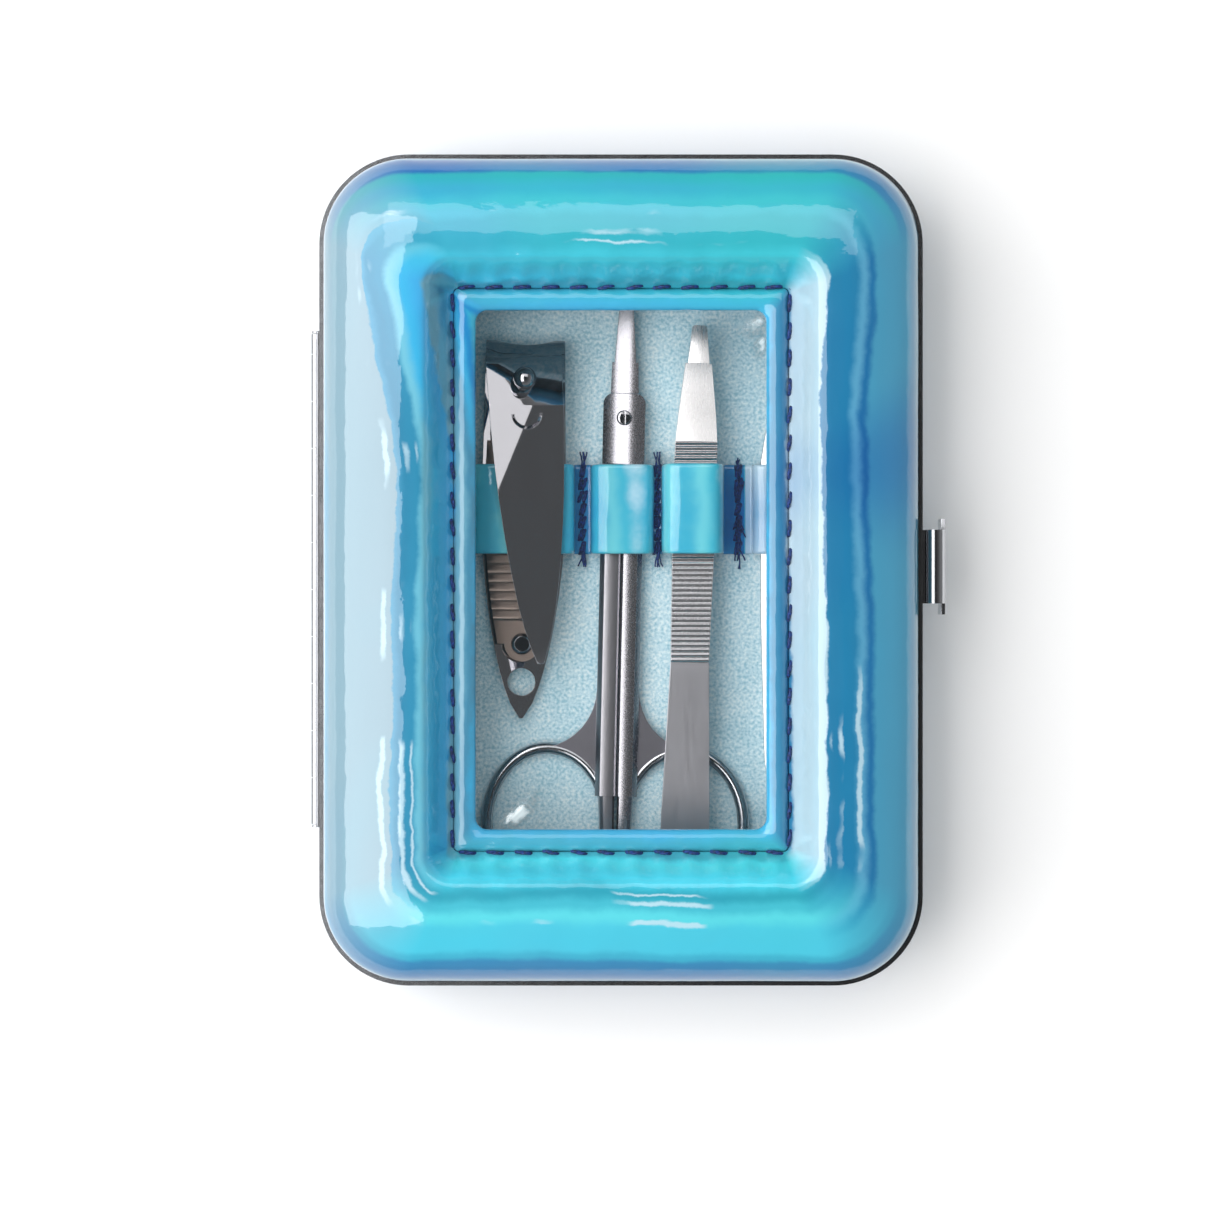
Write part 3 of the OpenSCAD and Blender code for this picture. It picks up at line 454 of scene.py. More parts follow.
foot = PANE_TOP + 0.05
crown = []
for i in range(ROLL_STEPS + 1):
    a = math.pi * i / ROLL_STEPS
    t = (1 - math.cos(a)) / 2
    crown.append((mix(BINDING_FROM, STITCH_IN + BINDING_W, t), foot + 0.4 + (BINDING_H - 0.4) * math.sin(a),
                  mix(SEWN_R, WINDOW_R, t)))
crown += [(STITCH_IN + BINDING_W, foot, WINDOW_R), (BINDING_FROM, foot, SEWN_R)]
binding = lofted("window_binding_rolled", crown, True, spacing=0.5, corner_points=10, shift=binding_shape)
binding.data.materials.append(cover_pu)
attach(binding, "lid")
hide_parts("window_binding")


# Stitches round the window: two-ply navy polyester thread, each stitch a short slanting bar that
# dives into its needle hole between the padding and the binding
THREAD_R = 0.20
STITCH_LENGTH, STITCH_STEPS, STITCH_DIP = 2.6, 14, 0.95
PLY_AWAY, PLY_TURN = 0.10, 2.4


# Tubes along rows of points, each row a list of (place, radius)
def tubes(name, rows, around=8):
    verts, faces = [], []
    for row in rows:
        first = len(verts)
        for i, (place, radius) in enumerate(row):
            ahead = (row[min(i + 1, len(row) - 1)][0] - row[max(i - 1, 0)][0]).normalized()
            side = ahead.cross(Vector((0, 0, 1)) if abs(ahead.z) < 0.95 else Vector((1, 0, 0))).normalized()
            up = side.cross(ahead)
            for j in range(around):
                a = 2 * math.pi * j / around
                verts.append((place + (side * math.cos(a) + up * math.sin(a)) * radius) * MM)
        for i in range(len(row) - 1):
            for j in range(around):
                a, b = first + i * around, first + (i + 1) * around
                faces.append((a + j, a + (j + 1) % around, b + (j + 1) % around, b + j))
        faces.append([first + j for j in reversed(range(around))])
        faces.append([first + (len(row) - 1) * around + j for j in range(around)])
    return link(name, smooth_mesh(name, verts, faces))


def stitch(middle, along, inward, dice):
    slant = dice.uniform(0.10, 0.34)
    half = along * (STITCH_LENGTH / 2) + inward * slant
    plies = []
    for ply in (0, math.pi):
        row = []
        for i in range(STITCH_STEPS + 1):
            t = i / STITCH_STEPS
            turn = ply + PLY_TURN * math.pi * t
            dip = -STITCH_DIP * abs(2 * t - 1) ** 5
            place = middle - half + half * 2 * t + Vector((0, 0, dip + PLY_AWAY * math.sin(turn)))
            place += inward * PLY_AWAY * math.cos(turn)
            row.append((place, THREAD_R * (0.8 if i in (0, STITCH_STEPS) else 1.0)))
        plies.append(row)
    return plies


dice = random.Random(7)
rows = []
for side, (count, half_length) in STITCHES.items():
    other = (CASE_L if side == "ends" else CASE_W) / 2 - STITCH_IN
    for sign in (1, -1):
        for i in range(count):
            reach = -half_length + (i + 0.5) * 2 * half_length / count + dice.uniform(-0.15, 0.15)
            z = SEWN_Z + 0.62 + dice.uniform(-0.05, 0.05)
            out = (other + 0.12) * sign
            if side == "ends":
                rows += stitch(Vector((reach, out, z)), Vector((1, 0, 0)), Vector((0, sign, 0)), dice)
            else:
                rows += stitch(Vector((out, reach, z)), Vector((0, 1, 0)), Vector((sign, 0, 0)), dice)
# Loose end at the corner of the head end on the clasp side, with its plies frayed apart
corner = Vector((CASE_W / 2 - STITCH_IN, CASE_L / 2 - STITCH_IN, SEWN_Z + 0.3))
for k in range(5):
    row, place = [], corner.copy()
    heading = Vector((0.7 + 0.15 * k, -0.5 + 0.28 * k, 0.25)).normalized()
    for i in range(9):
        row.append((place.copy(), 0.06))
        heading = (heading + Vector((dice.uniform(-0.3, 0.3), dice.uniform(-0.3, 0.3), -0.05))).normalized()
        place += heading * 0.22
    rows.append(row)
stitches = tubes("window_stitches_thread", rows)
thread, tree = new_material("navy_polyester_thread_twisted")
spot = add(tree, "TexCoord").outputs["Object"]
fibre = add(tree, "TexNoise", {"Vector": spot, "Scale": 2600.0, "Detail": 2.0})
dye = add(tree, "ValToRGB", {"Fac": fibre}, stops=[(0.3, "#081C46"), (0.7, "#12387E")])
bump = add(tree, "Bump", {"Height": fibre, "Strength": 0.4, "Distance": 0.00005})
shader = add(tree, "BsdfPrincipled", {"Base Color": dye, "Roughness": 0.6, "Sheen Weight": 0.08,
                                      "Normal": bump})
finish_material(tree, shader)
stitches.data.materials.append(thread)
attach(stitches, "lid")


# Window pane: 0.5 mm clear plasticised PVC, slack and a little wavy, creased near two corners
# where it was pressed when sewn; it lies under the padding and over the lid's rigid plate.
# It is clear by its alpha, which rises where it is seen edge on. Along the creases a pale glint is
# painted into its colour and alpha: a painted highlight of the lamp mirrored in them.
PANE_T, PANE_IN, PANE_R, PANE_GRID = 0.5, 17.0, 3.3, 0.45
SLACK, SLACK_SIZE, CREASE_W, GLINT_W = 0.10, 16.0, 0.55, 0.75
# Creases as (start, end, height)
CREASES = [((18.5, 35.2), (20.6, 36.2), 0.30), ((17.6, 34.4), (20.2, 34.9), 0.22),
           ((20.0, 31.4), (20.6, 34.0), 0.18), ((-17.4, -37.2), (-12.2, -32.6), 0.30),
           ((-16.2, -37.0), (-12.8, -34.2), 0.20)]


# Height of the pane, and the strength of the glint painted along a crease
def pane_form(x, y):
    z = SLACK * noise.noise(Vector((x, y, 0)) / SLACK_SIZE)
    glint = 0.0
    for (ax, ay), (bx, by), height in CREASES:
        line = Vector((bx - ax, by - ay))
        t = min(1, max(0, Vector((x - ax, y - ay)).dot(line) / line.length_squared))
        away = math.hypot(x - ax - line.x * t, y - ay - line.y * t)
        ridge = math.exp(-(away / CREASE_W) ** 2) * math.sin(math.pi * mix(0.12, 0.88, t))
        z += height * ridge
        ragged = 0.7 + 0.9 * noise.noise(Vector((x, y, 4)) / 0.7)
        glint = max(glint, math.exp(-(away / GLINT_W) ** 2) * math.sin(math.pi * mix(0.1, 0.9, t)) * ragged)
    from_binding = min(CASE_W / 2 - abs(x), CASE_L / 2 - abs(y)) - STITCH_IN - BINDING_W
    free = min(1, max(0, from_binding / 1.5))
    return z * free, max(0.0, glint)


hx, hy = CASE_W / 2 - PANE_IN, CASE_L / 2 - PANE_IN
columns, lines = round(2 * hx / PANE_GRID), round(2 * hy / PANE_GRID)
verts, faces, crease_glint = [], [], []
for base in (PANE_TOP - PANE_T, PANE_TOP):
    for j in range(lines + 1):
        for i in range(columns + 1):
            x, y = mix(-hx, hx, i / columns), mix(-hy, hy, j / lines)
            dx, dy = max(0, abs(x) - hx + PANE_R), max(0, abs(y) - hy + PANE_R)
            if dx and dy and math.hypot(dx, dy) > PANE_R:
                k = PANE_R / math.hypot(dx, dy)
                x = math.copysign(hx - PANE_R + dx * k, x)
                y = math.copysign(hy - PANE_R + dy * k, y)
            z, glint = pane_form(x, y)
            verts.append(Vector((x, y, base + z)) * MM)
            crease_glint.append(glint)
stride, top = columns + 1, (columns + 1) * (lines + 1)
for j in range(lines):
    for i in range(columns):
        a = j * stride + i
        faces.append((a, a + stride, a + stride + 1, a + 1))
        faces.append((top + a, top + a + 1, top + a + stride + 1, top + a + stride))
edge = [*range(columns)] + [j * stride + columns for j in range(lines)]
edge += [lines * stride + i for i in range(columns, 0, -1)] + [j * stride for j in range(lines, 0, -1)]
faces += [(a, b, top + b, top + a) for a, b in zip(edge, edge[1:] + edge[:1])]
mesh = smooth_mesh("window_pane_slack", verts, faces)
mesh.attributes.new("crease_glint", "FLOAT", "POINT").data.foreach_set("value", crease_glint)
pane = link("window_pane_slack", mesh)
pvc, tree = new_material("clear_pvc_glossy")
edge_on = add(tree, "LayerWeight", {"Blend": 0.5})
seen_as = add(tree, "ValToRGB", {"Fac": edge_on.outputs["Facing"]},
              stops=[(0.0, 0.03), (0.45, 0.05), (0.8, 0.22), (1.0, 0.8)])
# Painted highlight: a pale glint along the creases, raising colour and alpha
crease = add(tree, "Attribute", attribute_name="crease_glint")
glint_tone = add(tree, "ValToRGB", {"Fac": crease.outputs["Fac"]},
                  stops=[(0.2, "#5E6E76"), (0.7, "#E4EEF0")])
alpha_and_glint = add(tree, "Math", {0: crease.outputs["Fac"], 1: 0.5, 2: seen_as}, operation="MULTIPLY_ADD",
            use_clamp=True)
shader = add(tree, "BsdfPrincipled", {"Base Color": glint_tone, "Roughness": 0.03, "IOR": 1.53,
                                      "Alpha": alpha_and_glint, "Coat Weight": 1.0, "Coat Roughness": 0.02})
finish_material(tree, shader)
pane.data.materials.append(pvc)
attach(pane, "lid")
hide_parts("window_pane")


# Steel rims: two channels rolled from bright nickel-plated strip, their outer edges rounded by
# the rolling; the cover's edge is clamped inside them
RIM_T, RIM_WALL_IN, RIM_ROUND = 0.6, 2.7, 0.3


# Channel seen in section, from the open end of its outer wall round to the inner wall's end
def rim_rings(mouth, back):
    up = 1 if back > mouth else -1
    inner = RIM_WALL_IN + RIM_T
    rings = [(0.0, mouth), (0.0, back - up * RIM_ROUND)]
    rings += [(RIM_ROUND * (1 - math.cos(a)), back - up * RIM_ROUND * (1 - math.sin(a)))
              for a in (math.radians(18 * i) for i in range(1, 6))]
    rings += [(inner - RIM_ROUND * (1 - math.sin(a)), back - up * RIM_ROUND * (1 - math.cos(a)))
              for a in (math.radians(18 * i) for i in range(6))]
    rings += [(inner, mouth), (RIM_WALL_IN, mouth), (RIM_WALL_IN, back - up * RIM_T),
              (RIM_T, back - up * RIM_T), (RIM_T, mouth)]
    return [(inset, z, follow_r(inset)) for inset, z in rings]


# Sets sharp edges by angle and gives every piece smooth shading elsewhere
def shade(piece, degrees):
    form = bmesh.new()
    form.from_mesh(piece.data)
    bmesh.ops.recalc_face_normals(form, faces=form.faces)
    for edge in form.edges:
        edge.smooth = len(edge.link_faces) == 2 and edge.calc_face_angle(0) < math.radians(degrees)
    for face in form.faces:
        face.smooth = True
    form.to_mesh(piece.data)
    form.free()


BOW_REACH, FOLD_TURN = 6.0, 1.06


# Plated steel with faint rolling marks along the strip. A bow is (middle, follow, bend, lean): a
# crown across the line x = middle + follow * y that becomes straight BOW_REACH away from it, and a
# lean of the surface towards the head end. Beyond the fold, a place along y, the line turns back.
# Both are shading only, so that flat steel mirrors the lamps as the real piece does. A rib width in
# mm cuts ribs across the piece.
def plated_steel(name, tint, roughness, streak, scale=(1, 1, 1), depth=0.000004, bow=None, fold=None,
                 rib_mm=0.0):
    material, tree = new_material(name)
    spot = add(tree, "TexCoord").outputs["Object"]
    drawn = add(tree, "Mapping", {"Vector": spot, "Scale": scale})
    marks = add(tree, "TexNoise", {"Vector": drawn, "Scale": streak, "Detail": 5.0, "Roughness": 0.6})
    gloss = add(tree, "ValToRGB", {"Fac": marks}, stops=[(0.3, roughness * 0.93), (0.7, roughness * 1.09)])
    surface = add(tree, "Bump", {"Height": marks, "Strength": 0.12, "Distance": depth})
    x, y, _ = add(tree, "SeparateXYZ", {0: spot}).outputs
    if bow:
        middle, follow, bend, lean = bow
        away = add(tree, "Math", {0: y, 1: -follow, 2: x}, operation="MULTIPLY_ADD")
        away = add(tree, "Math", {0: away, 1: middle * MM}, operation="SUBTRACT")
        if fold:
            past = add(tree, "Math", {0: y, 1: fold * MM}, operation="SUBTRACT")
            past = add(tree, "Math", {0: past, 1: 0.0}, operation="MAXIMUM")
            away = add(tree, "Math", {0: past, 1: FOLD_TURN, 2: away}, operation="MULTIPLY_ADD")
        away = add(tree, "Math", {0: away}, operation="ABSOLUTE")
        near = add(tree, "Math", {0: away, 1: BOW_REACH * MM}, operation="MINIMUM")
        crown = add(tree, "Math", {0: near, 1: -0.5, 2: away}, operation="MULTIPLY_ADD")
        crown = add(tree, "Math", {0: crown, 1: near}, operation="MULTIPLY")
        crown = add(tree, "Math", {0: crown, 1: -2 * bend / MM}, operation="MULTIPLY")
        crown = add(tree, "Math", {0: y, 1: -lean, 2: crown}, operation="MULTIPLY_ADD")
        surface = add(tree, "Bump", {"Height": crown, "Strength": 1.0, "Distance": 1.0, "Normal": surface})
    if rib_mm:
        turn = add(tree, "Math", {0: y, 1: 2 * math.pi / (rib_mm * MM)}, operation="MULTIPLY")
        wave = add(tree, "Math", {0: turn}, operation="SINE")
        surface = add(tree, "Bump", {"Height": wave, "Strength": 1.0, "Distance": 0.06 * MM,
                                     "Normal": surface})
    shader = add(tree, "BsdfPrincipled", {"Base Color": linear(tint), "Metallic": 1.0,
                                          "Roughness": gloss, "Normal": surface})
    finish_material(tree, shader)
    return material


rim_steel = plated_steel("nickel_plated_steel_bright", "#B4B6BA", 0.16, 900.0, (1, 1, 6))
for name, node, body, mouth, back in (
        ("base_frame_rolled", "base_frame", "base", 9.9, 14.9),
        ("lid_frame_rolled", "lid_frame", "lid", 20.1, 15.1)):
    rim = lofted(name, rim_rings(mouth, back), True)
    shade(rim, 50)
    rim.data.materials.append(rim_steel)
    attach(rim, body)
    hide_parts(node)


# Padded base cover: the same PU glued over thin foam on the base shell, drawn smooth round the
# lower edge; it is thin and firm, so that only faint waves show
BASE_EDGE_R, BASE_PAD, EDGE_T, BASE_SEAT, BASE_STEPS = 7.5, 2.0, 0.75, 14.25, 18


def bend_rings(inset, z, radius, steps):
    rings = []
    for i in range(steps + 1):
        a = math.radians(90 * i / steps)
        reach = inset + radius * (1 - math.sin(a))
        rings.append((reach, z + radius * (1 - math.cos(a)), follow_r(reach)))
    return rings


def base_shape(place, number, side):
    if not 1 <= number <= BASE_STEPS:
        return 0.0
    return 0.10 * noise.noise(place / 11.0) + 0.012 * noise.noise(place / 0.9) - 0.05


hem = COVER_IN + EDGE_T
rings = [(20.0, 0.0, 2.5), *bend_rings(COVER_IN, 0.0, BASE_EDGE_R, BASE_STEPS),
         (COVER_IN, 11.0, follow_r(COVER_IN)), (COVER_IN, BASE_SEAT, follow_r(COVER_IN)),
         (hem, BASE_SEAT, follow_r(hem))]
rings += bend_rings(hem, BASE_PAD, BASE_EDGE_R - BASE_PAD / 2, 10)[::-1]
base_cover = lofted("base_cover_padded", rings, False, spacing=1.2, corner_points=16, shift=base_shape)
shade(base_cover, 60)
base_cover.data.materials.append(cover_pu)
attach(base_cover, "base")
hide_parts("base_cover")


# Shells: two trays pressed of grey-black fibreboard, which stiffen base and lid and are seen only at
# their edges; they keep the CAD's form
board, tree = new_material("pressed_fibreboard_matt")
spot = add(tree, "TexCoord").outputs["Object"]
fibres = add(tree, "TexNoise", {"Vector": spot, "Scale": 900.0, "Detail": 4.0})
tone = add(tree, "ValToRGB", {"Fac": fibres}, stops=[(0.3, "#2E3238"), (0.7, "#454A51")])
bump = add(tree, "Bump", {"Height": fibres, "Strength": 0.5, "Distance": 0.0001})
shader = add(tree, "BsdfPrincipled", {"Base Color": tone, "Roughness": 0.75, "Normal": bump})
finish_material(tree, shader)
for name in ("base_shell", "lid_shell"):
    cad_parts[name].data.materials.clear()
    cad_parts[name].data.materials.append(board)


# Base lining: a pressed card tray that the tools lie on. Its flock is short viscose fibre set
# electrostatically, a pale blue-grey nap that shifts in tone where it has been rubbed.
flock, tree = new_material("viscose_flock_nap")
spot = add(tree, "TexCoord").outputs["Object"]
nap = add(tree, "TexNoise", {"Vector": spot, "Scale": 2200.0, "Detail": 3.0})
rubbed = add(tree, "TexNoise", {"Vector": spot, "Scale": 160.0, "Detail": 6.0, "Roughness": 0.65})
both = add(tree, "Math", {0: rubbed, 1: 0.35, 2: nap}, operation="MULTIPLY_ADD")
tone = add(tree, "ValToRGB", {"Fac": both}, stops=[(0.52, "#A2CFDE"), (0.68, "#C8E6F0"), (0.84, "#E6F7FB")])
bump = add(tree, "Bump", {"Height": nap, "Strength": 0.6, "Distance": 0.00012})
shader = add(tree, "BsdfPrincipled", {
    "Base Color": tone, "Roughness": 0.95, "IOR": 1.45, "Sheen Weight": 0.45, "Sheen Roughness": 0.5,
    "Sheen Tint": linear("#D6E8EE"), "Normal": bump})
finish_material(tree, shader)

LINING_IN, LINING_T, CARD_BOTTOM, CARD_R, CARD_TOP = 3.35, 0.8, 3.3, 4.6, 14.5
INSIDE_FROM = 14  # number of the outline where the tray's upper side begins
inner = LINING_IN + LINING_T
rings = [(18.0, CARD_BOTTOM, 2.5), *bend_rings(LINING_IN, CARD_BOTTOM, CARD_R, 10),
         (LINING_IN, CARD_TOP, follow_r(LINING_IN)), (inner, CARD_TOP, follow_r(inner))]
rings += bend_rings(inner, CARD_BOTTOM + LINING_T, CARD_R - LINING_T, 10)[::-1]
rings += [(reach, CARD_BOTTOM + LINING_T, 2.5) for reach in (14.0, 22.0, 30.0, 38.0)]


def card_shape(place, number, side):
    return 0.05 * noise.noise(place / 9.0) - 0.03 if number > INSIDE_FROM else 0.0


tray = lofted("base_lining_flocked", rings, False, spacing=1.5, corner_points=14, shift=card_shape)
shade(tray, 60)
tray.data.materials.append(flock)
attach(tray, "base")
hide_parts("base_lining")


# Copy of a CAD solid with its edges broken by a small round, as tumbling or polishing leaves them
def softened(node, width, body, material, degrees=28, smooth=35):
    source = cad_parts[node]
    form = bmesh.new()
    form.from_mesh(source.data)
    form.transform(source.matrix_world)
    bmesh.ops.remove_doubles(form, verts=form.verts, dist=0.000002)
    bmesh.ops.dissolve_limit(form, angle_limit=math.radians(1.5), verts=form.verts, edges=form.edges)
    edges = [e for e in form.edges if len(e.link_faces) == 2 and e.calc_face_angle(0) > math.radians(degrees)]
    bmesh.ops.bevel(form, geom=edges, offset=width * MM, segments=2, profile=0.5, affect="EDGES",
                    clamp_overlap=True)
    mesh = bpy.data.meshes.new(node + "_finished")
    form.to_mesh(mesh)
    form.free()
    piece = link(node + "_finished", mesh)
    shade(piece, smooth)
    flat = piece.modifiers.new("flat_faces", "WEIGHTED_NORMAL")
    flat.keep_sharp = True
    flat.weight = 100
    mesh.materials.append(material)
    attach(piece, body)
    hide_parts(node)
    return piece


# Lid lining: the same flocked card, glued inside the lid's shell, with its cut edge round the
# window
softened("lid_lining", 0.15, "lid", flock)

# Piano hinge: leaves and knuckles stamped from plated strip, rolled round a steel pin with two
# headed ends, and spot-welded to the rims
softened("base_hinge_leaf", 0.06, "base", rim_steel)
softened("lid_hinge_leaf", 0.06, "lid", rim_steel)
softened("hinge_pin", 0.05, "base", rim_steel)

# Clasp: an arched spring strip of plated steel on a bracket welded to the lid's rim, snapping over
# a bead pressed in the base's rim
softened("clasp_bracket", 0.06, "lid", rim_steel)
softened("clasp_tab", 0.12, "clasp", rim_steel)
softened("clasp_catch", 0.10, "base", rim_steel)

# Nail clipper: leaves and lever stamped, ground and mirror-chromed, joined by a ball-headed pin and
# a tail rivet; only the file is bare hardened steel, its ridges browned in tempering. The crown
# runs slanting down leaf and lever, so that their left part mirrors the lamp, the rest the ceiling.
chrome = plated_steel("chromed_steel_mirror", "#ADACB0", 0.05, 300.0, (1, 0.3, 1), 0.000002)
crowned = plated_steel("chromed_steel_mirror_crowned", "#B4B3B7", 0.05, 300.0, (1, 0.3, 1), 0.000002,
                       bow=(-28.1, 0.41, 0.025, 0.22), fold=24.2)
browned = plated_steel("hardened_file_steel_ridged", "#8E8078", 0.34, 1500.0, (1, 4, 1))
for node, body, width, finish in (
        ("clipper_lower_leaf", "base", 0.15, chrome), ("clipper_upper_leaf", "clipper_jaw", 0.15, crowned),
        ("clipper_lever", "clipper_lever", 0.3, crowned), ("clipper_pin", "base", 0.05, chrome),
        ("clipper_rivet", "clipper_jaw", 0.05, chrome)):
    softened(node, width, body, finish)
softened("clipper_file", 0.04, "clipper_file", browned)

# Manicure scissors: two halves forged, ground, satin nickel-plated and screwed together; the finger
# rings are round wire, and each shank runs on between them as a tapering bar. Shanks and bars are
# crowned across SHANK_LEAN, the line they follow; the webs beyond WEB_FROM are flat, and their
# darker tint is painted shade.
SHANK_LEAN, WEB_FROM = 0.0227, 3.15
satin = plated_steel("nickel_plated_steel_satin", "#B3B1B6", 0.30, 2400.0, (3, 1, 3),
                     bow=(-1.6, SHANK_LEAN, 0.065, 0.0))
# The same plating in a darker tint for the flat webs: painted shade
level = plated_steel("nickel_plated_steel_satin_painted_shade", "#85838A", 0.30, 2400.0, (3, 3, 3))
rounded = plated_steel("nickel_plated_steel_satin_rounded", "#B3B1B6", 0.26, 2400.0, (3, 1, 3),
                       bow=(1.3, SHANK_LEAN, 0.09, 0.0))
for node, body, finish in (
        ("scissor_left_half", "scissor_left", satin), ("scissor_right_half", "scissor_right", rounded)):
    half = softened(node, 0.25, body, finish, smooth=22)
    half.data.materials.append(level)
    for face in half.data.polygons:
        face.material_index = int(abs(face.center.x / MM - SHANK_LEAN * face.center.y / MM) > WEB_FROM)
softened("scissor_screw", 0.05, "base", chrome)
SCREW_AT, SCISSOR_TURN = Vector((0.51, 22.5, 0)), Matrix.Rotation(math.radians(-1.3), 3, "Z")
RING_WIRE, RING_AT, RING_Z, RING_HALF, RING_STEPS = 0.88, (10.05, -59.8), 5.2, (8.9, 10.9), 64
# Section of a bar from the parting line outwards, as (reach, height) above BAR_BOTTOM
BAR = [(0.12, 0.0), (0.12, 2.0), (0.45, 2.55), (1.9, 2.55), (2.5, 2.2), (2.7, 1.4), (2.5, 0.3), (2.2, 0.0)]
BAR_FROM, BAR_TO, BAR_BOTTOM, BAR_H, BAR_STEPS = -52.0, -67.5, 4.6, 2.55, 24
for body, sign in (("scissor_left", -1), ("scissor_right", 1)):
    row = []
    for i in range(RING_STEPS + 1):
        a = 2 * math.pi * i / RING_STEPS
        place = Vector((sign * RING_AT[0] + RING_HALF[0] * math.cos(a),
                        RING_AT[1] + RING_HALF[1] * math.sin(a), RING_Z))
        row.append((SCISSOR_TURN @ place + SCREW_AT, RING_WIRE))
    wire = tubes("finger_ring_" + body, [row], around=20)
    wire.data.materials.append(rim_steel)
    shade(wire, 60)
    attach(wire, body)
    verts, faces = [], []
    for i in range(BAR_STEPS + 1):
        t = i / BAR_STEPS
        width, drop = mix(1.0, 0.72, t), mix(0.0, 0.5, t * t)
        for u, h in BAR:
            place = Vector((sign * (0.1 + u * width), mix(BAR_FROM, BAR_TO, t),
                            BAR_BOTTOM + h - drop * h / BAR_H))
            verts.append((SCISSOR_TURN @ place + SCREW_AT) * MM)
    n = len(BAR)
    for i in range(BAR_STEPS):
        a, b = i * n, (i + 1) * n
        faces += [(a + j, a + (j + 1) % n, b + (j + 1) % n, b + j) for j in range(n)]
    faces += [list(range(n)), [BAR_STEPS * n + j for j in reversed(range(n))]]
    mesh = smooth_mesh("shank_end_" + body, verts, faces)
    bar = link("shank_end_" + body, mesh)
    mesh.materials.append(satin if sign < 0 else rounded)
    shade(bar, 30)
    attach(bar, body)

# Tweezers: two spring-steel arms welded at the tail, brushed lengthwise there, with a ribbed grip,
# and polished from the grip to the tips, which a narrow step sets off. ZONES says where along y a
# finish ends, and ORDER which one each zone has.
brushed = plated_steel("spring_steel_brushed", "#B4B3B8", 0.34, 2400.0, (1.2, 0.03, 1.2), 0.00003)
ribbed = plated_steel("spring_steel_ribbed", "#C6C5C8", 0.24, 2400.0, (1, 1, 1), rib_mm=0.74)
polished = plated_steel("spring_steel_polished", "#D8D6D6", 0.28, 2400.0, (3, 0.2, 3),
                        bow=(10.9, 0.03, 0.02, 0.20))
tipped = plated_steel("spring_steel_tip", "#D8D6D6", 0.28, 2400.0, (3, 0.2, 3), bow=(11.3, 0.03, 0.04, 0.07))
ZONES, ORDER = (-13.6, 19.0, 30.4, 30.75), (0, 1, 2, 0, 3)
for node, body in (("tweezer_upper_arm", "tweezer_upper"), ("tweezer_lower_arm", "tweezer_lower")):
    arm = softened(node, 0.06, body, brushed, degrees=35)
    form = bmesh.new()
    form.from_mesh(arm.data)
    for y in ZONES:
        bmesh.ops.bisect_plane(form, geom=[*form.verts, *form.edges, *form.faces], plane_co=(0, y * MM, 0),
                               plane_no=(0.03, 1, 0))
    for face in form.faces:
        zone = sum(face.calc_center_median().y / MM > y for y in ZONES)
        face.material_index = ORDER[zone]
    form.to_mesh(arm.data)
    form.free()
    for finish in (ribbed, polished, tipped):
        arm.data.materials.append(finish)

# Cuticle pusher: a bar of satin stainless steel with ground ends; the photo shows only the left
# edge of this fourth tool, so its kind is a guess
pusher_steel = plated_steel("stainless_steel_satin", "#D2D3D5", 0.26, 900.0, (4, 0.1, 4),
                            bow=(24.6, 0.0, 0.03, 0.0))
softened("cuticle_pusher", 0.15, "base", pusher_steel)


# Tool strap: one band of the same PU with a turned edge, sewn down between the tools so that it
# stands over each of them as a loop
BOARD_Z, STRAP_Y, STRAP_W, STRAP_T = 4.1, 9.05, 13.2, 0.8
# Loops as (middle, half width, height, squareness)
LOOPS = [(-14.5, 7.0, 5.95, 10), (0.2, 4.0, 4.0, 4.5), (10.6, 3.9, 9.4, 6), (24.4, 4.3, 2.5, 6)]
STRAP_ENDS, LOOP_STEPS = (-23.9, 31.1), 40
# Where in the film the strap is cut from: its flat parts, sunk between the tools, whose deep blue is
# painted shade; its loops, lighter, with bands along them that are painted highlights; and the pale
# end by the clasp
FLAT_CUT_PAINTED_SHADE, LOOP_CUT_PAINTED_LIGHT, PALE_CUT, PALE_FROM = 24.4, 27.2, 29.8, 18.2
path = [(STRAP_ENDS[0], BOARD_Z + STRAP_T / 2)]
for x, w, h, n in LOOPS:
    w, h = w + STRAP_T / 2, h + STRAP_T / 2
    for i in range(LOOP_STEPS + 1):
        a = math.pi * (1 - i / LOOP_STEPS)
        c, s = math.cos(a), max(0.0, math.sin(a))
        z = max(BOARD_Z + h * s ** (2 / n), BOARD_Z + STRAP_T / 2)
        path.append((x + w * math.copysign(abs(c) ** (2 / n), c), z))
path.append((STRAP_ENDS[1], BOARD_Z + STRAP_T / 2))
fine = []
for (ax, az), (bx, bz) in zip(path, path[1:]):
    count = max(1, round(math.hypot(bx - ax, bz - az) / 0.25))
    fine += [(mix(ax, bx, i / count), mix(az, bz, i / count)) for i in range(count)]
fine.append(path[-1])
for _ in range(4):
    fine = [fine[0]] + [((a[0] + 2 * b[0] + c[0]) / 4, (a[1] + 2 * b[1] + c[1]) / 4)
                        for a, b, c in zip(fine, fine[1:], fine[2:])] + [fine[-1]]
EDGE_ROUND = [(-1.0, 0.0), (-0.985, 0.55), (-0.95, 0.9), (-0.9, 1.0)]
section = EDGE_ROUND + [(mix(-0.9, 0.9, i / 18), 1.0) for i in range(1, 18)]
section += [(-u, t) for u, t in EDGE_ROUND[::-1]]
section += [(-u, -t) for u, t in section[1:-1]]
verts, faces, across = [], [], []
way = 0.0
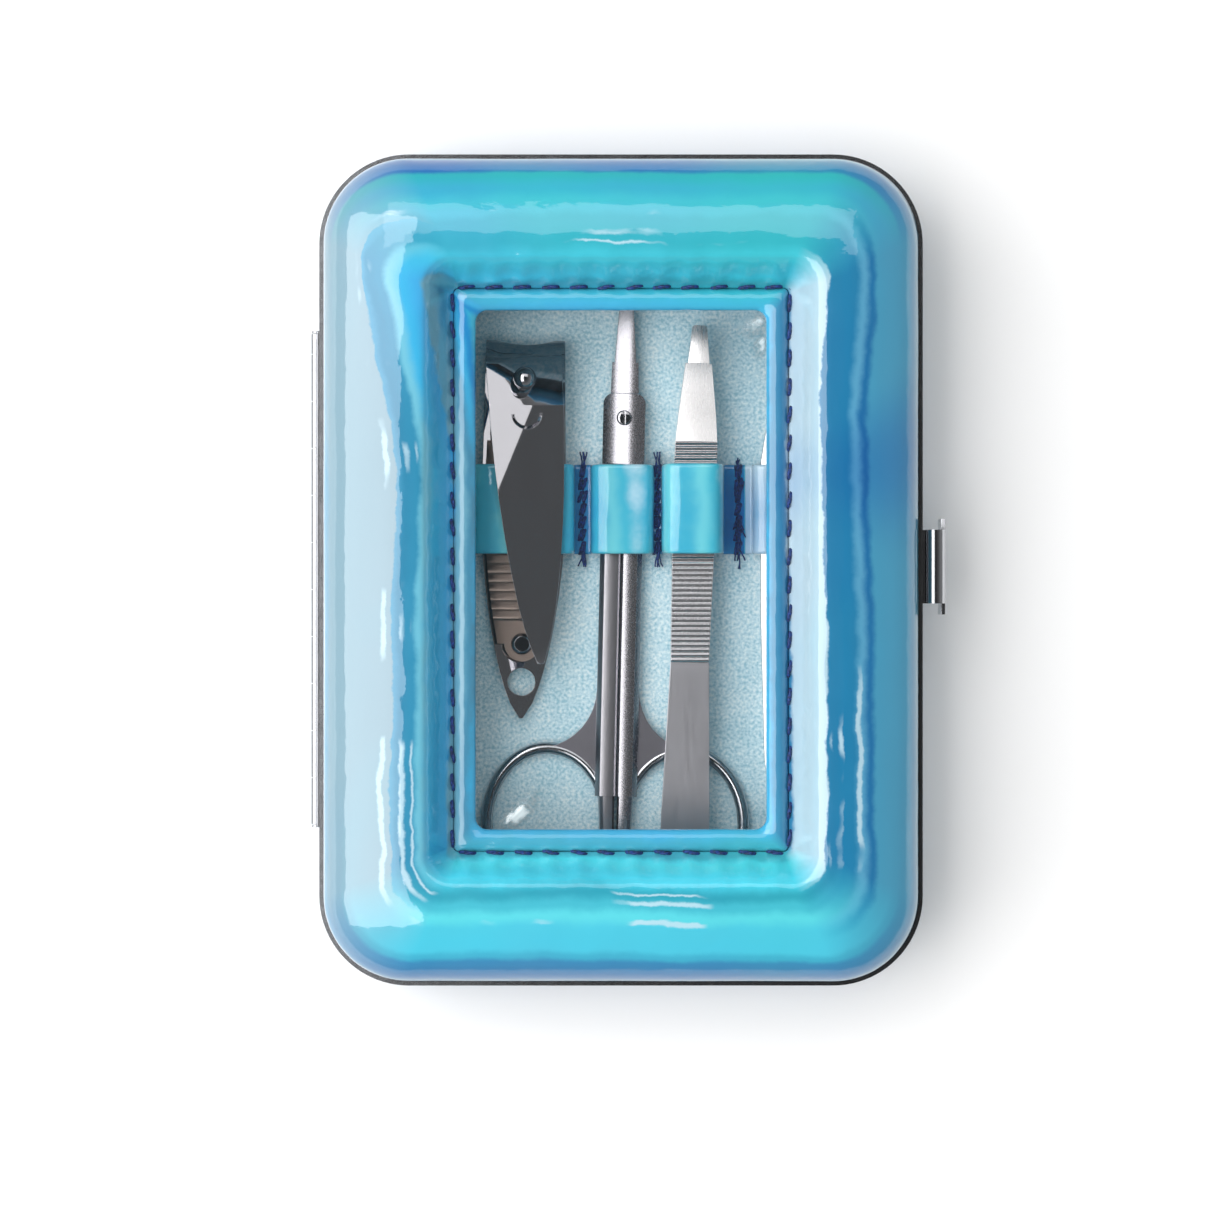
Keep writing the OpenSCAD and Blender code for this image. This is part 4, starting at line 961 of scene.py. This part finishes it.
for i, (x, z) in enumerate(fine):
    before, after = fine[max(0, i - 1)], fine[min(len(fine) - 1, i + 1)]
    lean = Vector((after[0] - before[0], after[1] - before[1])).normalized()
    way += math.hypot(x - before[0], z - before[1])
    for u, t in section:
        y = u * STRAP_W / 2
        wave = 0.10 * noise.noise(Vector((x / 3.0, y / 5.0, z / 3.0))) if z > BOARD_Z + 1.5 else 0.0
        thick = t * (STRAP_T / 2 - 0.04) + wave * (t > 0)
        verts.append(Vector((x - lean.y * thick, STRAP_Y + y, z + lean.x * thick)) * MM)
        # Painted light and shade: the tone rises with height above the board, and bands run along the loops
        up = min(1, max(0, (z - BOARD_Z - 1.0) / 3.0))
        across.append(PALE_CUT if x > PALE_FROM else mix(FLAT_CUT_PAINTED_SHADE, LOOP_CUT_PAINTED_LIGHT + 1.6 * math.sin(way / 1.9), up))
count = len(section)
for i in range(len(fine) - 1):
    for j in range(count):
        a, b = i * count, (i + 1) * count
        faces.append((a + j, b + j, b + (j + 1) % count, a + (j + 1) % count))
faces += [list(range(count)), [(len(fine) - 1) * count + j for j in reversed(range(count))]]
mesh = smooth_mesh("tool_strap_sewn", verts, faces)
mesh.attributes.new("inset", "FLOAT", "POINT").data.foreach_set("value", across)
mesh.attributes.new("end", "FLOAT", "POINT").data.foreach_set("value", [1.0] * len(verts))
strap = link("tool_strap_sewn", mesh)
shade(strap, 60)
mesh.materials.append(cover_pu)
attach(strap, "base")
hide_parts("tool_strap")

# Its seams: five rows of the same thread, each pulled deep between the loops, with ends that fray
# out past the strap's edges; the row beside the fourth tool is a tangle
rows = []
dice = random.Random(11)
# Seams as (place along x, pairs of frayed ends); a tangle's ends start anywhere along its seam
SEAMS = ((-23.0, 2), (-5.65, 5), (5.45, 5), (17.3, 14), (30.3, 2))
SEAM_STITCHES, TANGLE = 7, 10
for x, frays in SEAMS:
    seat = max(z for at, z in fine if abs(at - x) < 0.4) + STRAP_T / 2
    for lane in (-0.22, 0.22):
        for i in range(SEAM_STITCHES):
            y = STRAP_Y - STRAP_W / 2 + (i + 0.5) * STRAP_W / SEAM_STITCHES
            middle = Vector((x + lane + dice.uniform(-0.12, 0.12), y, seat + 0.25))
            rows += stitch(middle, Vector((0, 0.72, 0)), Vector((1, 0, 0)), dice)
    for k in range(2 * frays):
        end = 1 if k % 2 else -1
        start = STRAP_W / 2 - 0.3 if frays < TANGLE else dice.uniform(0.5, STRAP_W / 2)
        place = Vector((x + dice.uniform(-0.3, 0.3), STRAP_Y + end * start, seat + dice.uniform(0.1, 0.9)))
        heading = Vector((dice.uniform(-0.25, 0.25), end, 0.2)).normalized()
        row = []
        for i in range(10):
            row.append((place.copy(), 0.11))
            heading = (heading + Vector((dice.uniform(-0.3, 0.3), end * 0.2, -0.06))).normalized()
            place += heading * 0.25
            place.z = max(place.z, BOARD_Z + 0.2)
        rows.append(row)
strap_stitches = tubes("strap_stitches_thread", rows)
strap_stitches.data.materials.append(thread)
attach(strap_stitches, "base")
